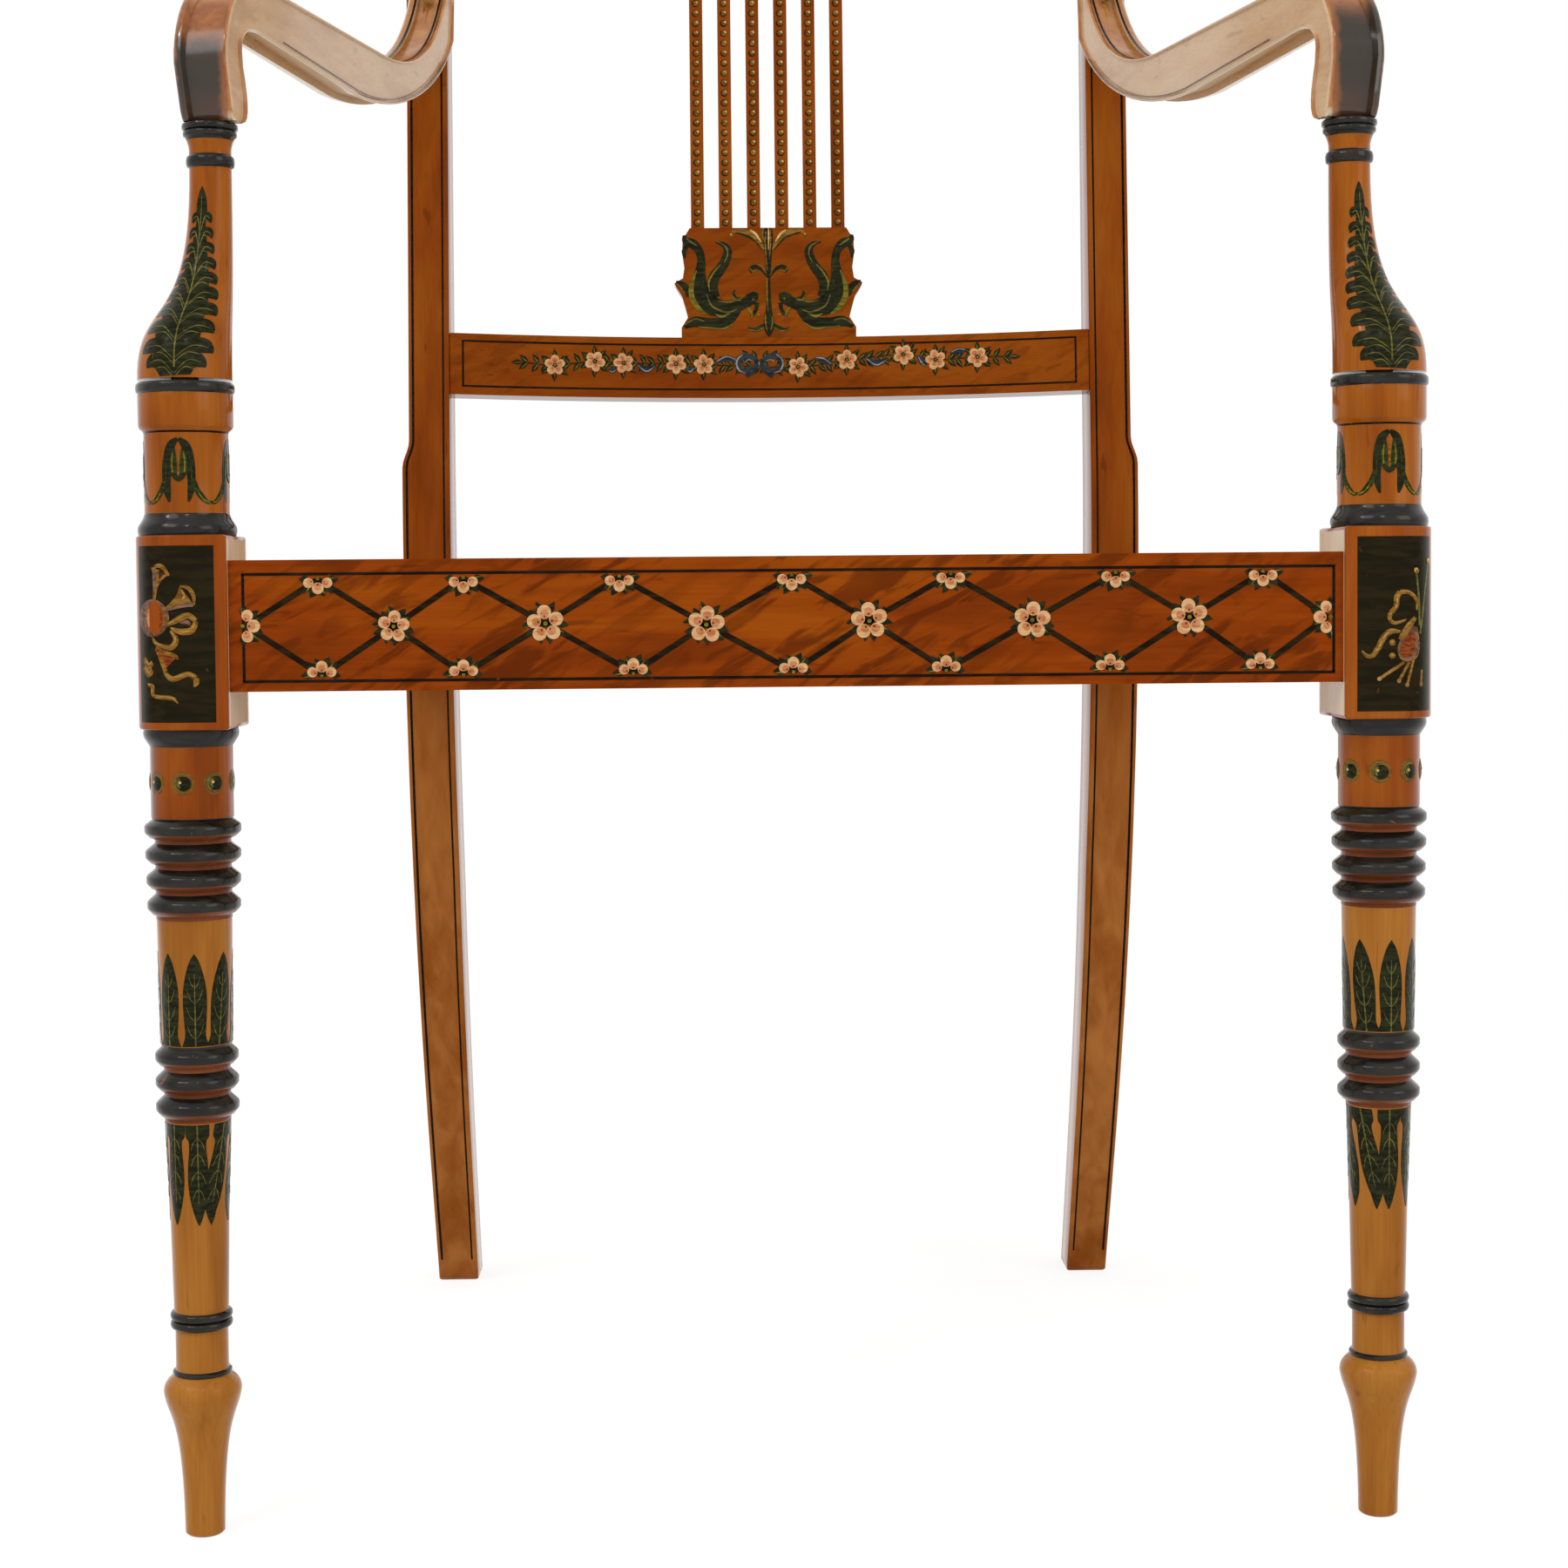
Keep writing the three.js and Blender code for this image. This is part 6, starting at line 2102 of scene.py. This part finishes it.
    def strings(self) -> None:
        """Paints rows of gilt pearls down the six strings."""
        for i in range(6):
            u = (i - 2.5) * 16.2
            maker = self.maker(f"pearl_painting_{i + 1}")
            brush = Brush(maker, self.flat(29.0))
            for k in range(27):
                v = 141.4 + 5.8 * k
                brush.disc(u - 0.2, v - 0.15, 2.15, "gold_shade", 0)
                brush.disc(u + 0.15, v, 1.7, "old_gold", 1, 0.5)
                brush.disc(u - 0.35, v - 0.1, 0.75, "gold_shade", 4.2, 0.1)
                brush.disc(u + 0.6, v + 0.35, 0.75, "pale_gold", 5, 0.15)
            maker.build("rail_satinwood")

    def build(self) -> None:
        """Paints every piece of the frame."""
        self.front_rail()
        self.cross_rail()
        self.crest_rail()
        self.plates()
        self.strings()


@dataclass
class CaneSeat:
    """Seat of split cane in six directions, in a frame with its binder."""

    shop: Workshop
    front: float
    post: BackPost
    low: float = 438.75
    high: float = 440.6
    near: float = 28.5
    far: float = 332.5
    pitch: float = 12.6
    strand: float = 1.0
    slant: float = 1.1
    binder: float = 1.9
    pair: float = 1.35
    up_z: float = 439.2
    across_z: float = 439.4
    slant_z: float = 440.0
    maker: MeshMaker = field(init=False)

    def rail_x(self, y: float) -> float:
        """Inner face of a side rail at a distance from the front."""
        return lerp(248.5, 184.2, (y - BLOCK_DEPTH) / (HINGE_Y - BLOCK_DEPTH))

    def reach(self, y: float) -> float:
        """Half width of the open weave at a distance from the front."""
        return 177.0 if y > self.far - 4 else min(243.0, self.rail_x(y) - 4)

    def strip(self, line: Spine, half: float) -> None:
        """Adds one strand with a slightly rounded back along a line of X, Y and height.

        Args:
            line: Its X, Y and height at each stop.
            half: Half width.
        """
        rows = []
        for i, (x, y, z) in enumerate(line):
            before, after = line[max(i - 1, 0)], line[min(i + 1, len(line) - 1)]
            way = Vector((after[0] - before[0], after[1] - before[1], 0)).normalized()
            side, up = Vector((-way.y, way.x, 0)) * half, Vector((0, 0, 0.22))
            middle, shoulder = Vector((x, y, z)), Vector((0, 0, 0.1))
            left = [middle - side - up, middle - side * 0.94 + shoulder, middle + up]
            rows.append([*left, middle + side * 0.94 + shoulder, middle + side - up])
        self.maker.grid(rows, "cane_skin", ring=True, caps=True)

    def border(self) -> None:
        """Adds the flat frame round the weave and the binder that covers its holes."""
        rear = self.post.face_y(SEAT_TOP) - 0.6
        outer = [(246.7, 14.8), (246.7, 52.3), (self.rail_x(52.3) + 9.7, 52.3)]
        outer += [(self.rail_x(rear) + 9.7, rear), (180.7, rear), (180.7, 346.2)]
        inner = [(243.0, 28.5), (243.0, 50.0), (self.rail_x(56) - 4, 56.0)]
        inner += [(self.rail_x(rear - 5) - 4, rear - 5), (177.0, rear - 4.5), (177.0, 332.5)]
        rings = []
        low, high = self.low, self.high
        for points, z in ((outer, low), (outer, high), (inner, high), (inner, low)):
            whole = points + [(-x, y) for x, y in reversed(points)]
            rings.append([Vector((x, y, z)) for x, y in whole])
        self.maker.grid([*rings, rings[0]], "cane_skin", ring=True)
        middle = [((a[0] + b[0]) / 2, (a[1] + b[1]) / 2, high) for a, b in zip(outer, inner)]
        loop = middle + [(-x, y, z) for x, y, z in reversed(middle)]
        for start, end in zip(loop, loop[1:] + loop[:1]):
            if math.dist(start, end) > 12:
                self.strip([start, end], self.binder)

    def build(self) -> None:
        """Makes the seat."""
        self.maker = MeshMaker("cane_weave", self.shop, self.front)
        self.border()
        columns = [self.pitch * (i - 19) for i in range(39)]
        lines = [self.near + self.pitch * (i + 0.55) for i in range(24)]
        for x in columns:
            for place in (x - self.pair, x + self.pair):
                if abs(place) > 242:
                    continue
                far = self.far if abs(place) < 176 else 52 + 282 * (244.5 - abs(place)) / 64.3
                ends = [(place, self.near - 1.5, self.up_z), (place, far + 1.5, self.up_z)]
                self.strip(ends, self.strand)
        for row, y in enumerate(lines):
            for number, place in enumerate((y - self.pair, y + self.pair)):
                half, z = self.reach(place), self.across_z
                line = [(-half - 1.5, place, z)]
                for column, x in enumerate(x for x in columns if abs(x) < half - 2):
                    rise = 0.36 if (row + column + number) % 2 else -0.1
                    line.append((x, place, z + rise))
                self.strip([*line, (half + 1.5, place, z)], self.strand)
        for sign in (1, -1):
            for i in range(-46, 47):
                start = sign * self.pitch * i
                places = [(start + sign * (k - 152), self.near + k) for k in range(0, 305, 4)]
                line = [(x, y, self.slant_z) for x, y in places if abs(x) < self.reach(y) + 1]
                if len(line) > 2:
                    self.strip([line[0], line[-1]], self.slant)
        self.maker.build("cane", ["cane_seat"])


def box_numbers(bounds: tuple[Vector, Vector]) -> list[list[float]]:
    """Lowest and highest corners as plain lists."""
    return [list(bounds[0]), list(bounds[1])]


def main() -> None:
    """Dresses the frame."""
    logging.basicConfig(level=logging.INFO, format="%(message)s")
    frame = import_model()
    cad_box = box_numbers(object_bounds())
    front = cad_box[0][1]
    shop = Workshop()
    studio = Studio()
    studio.build()
    FrameWood(shop, frame["nodes"]).dress()
    post = BackPost()
    FramePainting(shop, front).build()
    CaneSeat(shop, front, post).build()
    for side in Side:
        FrontLeg(shop, front, side).build()
        ArmSupport(shop, front, side).build()
        post.build(shop, front, side)
        Arm(shop, front, side, post).build()


if __name__ == "__main__":
    main()
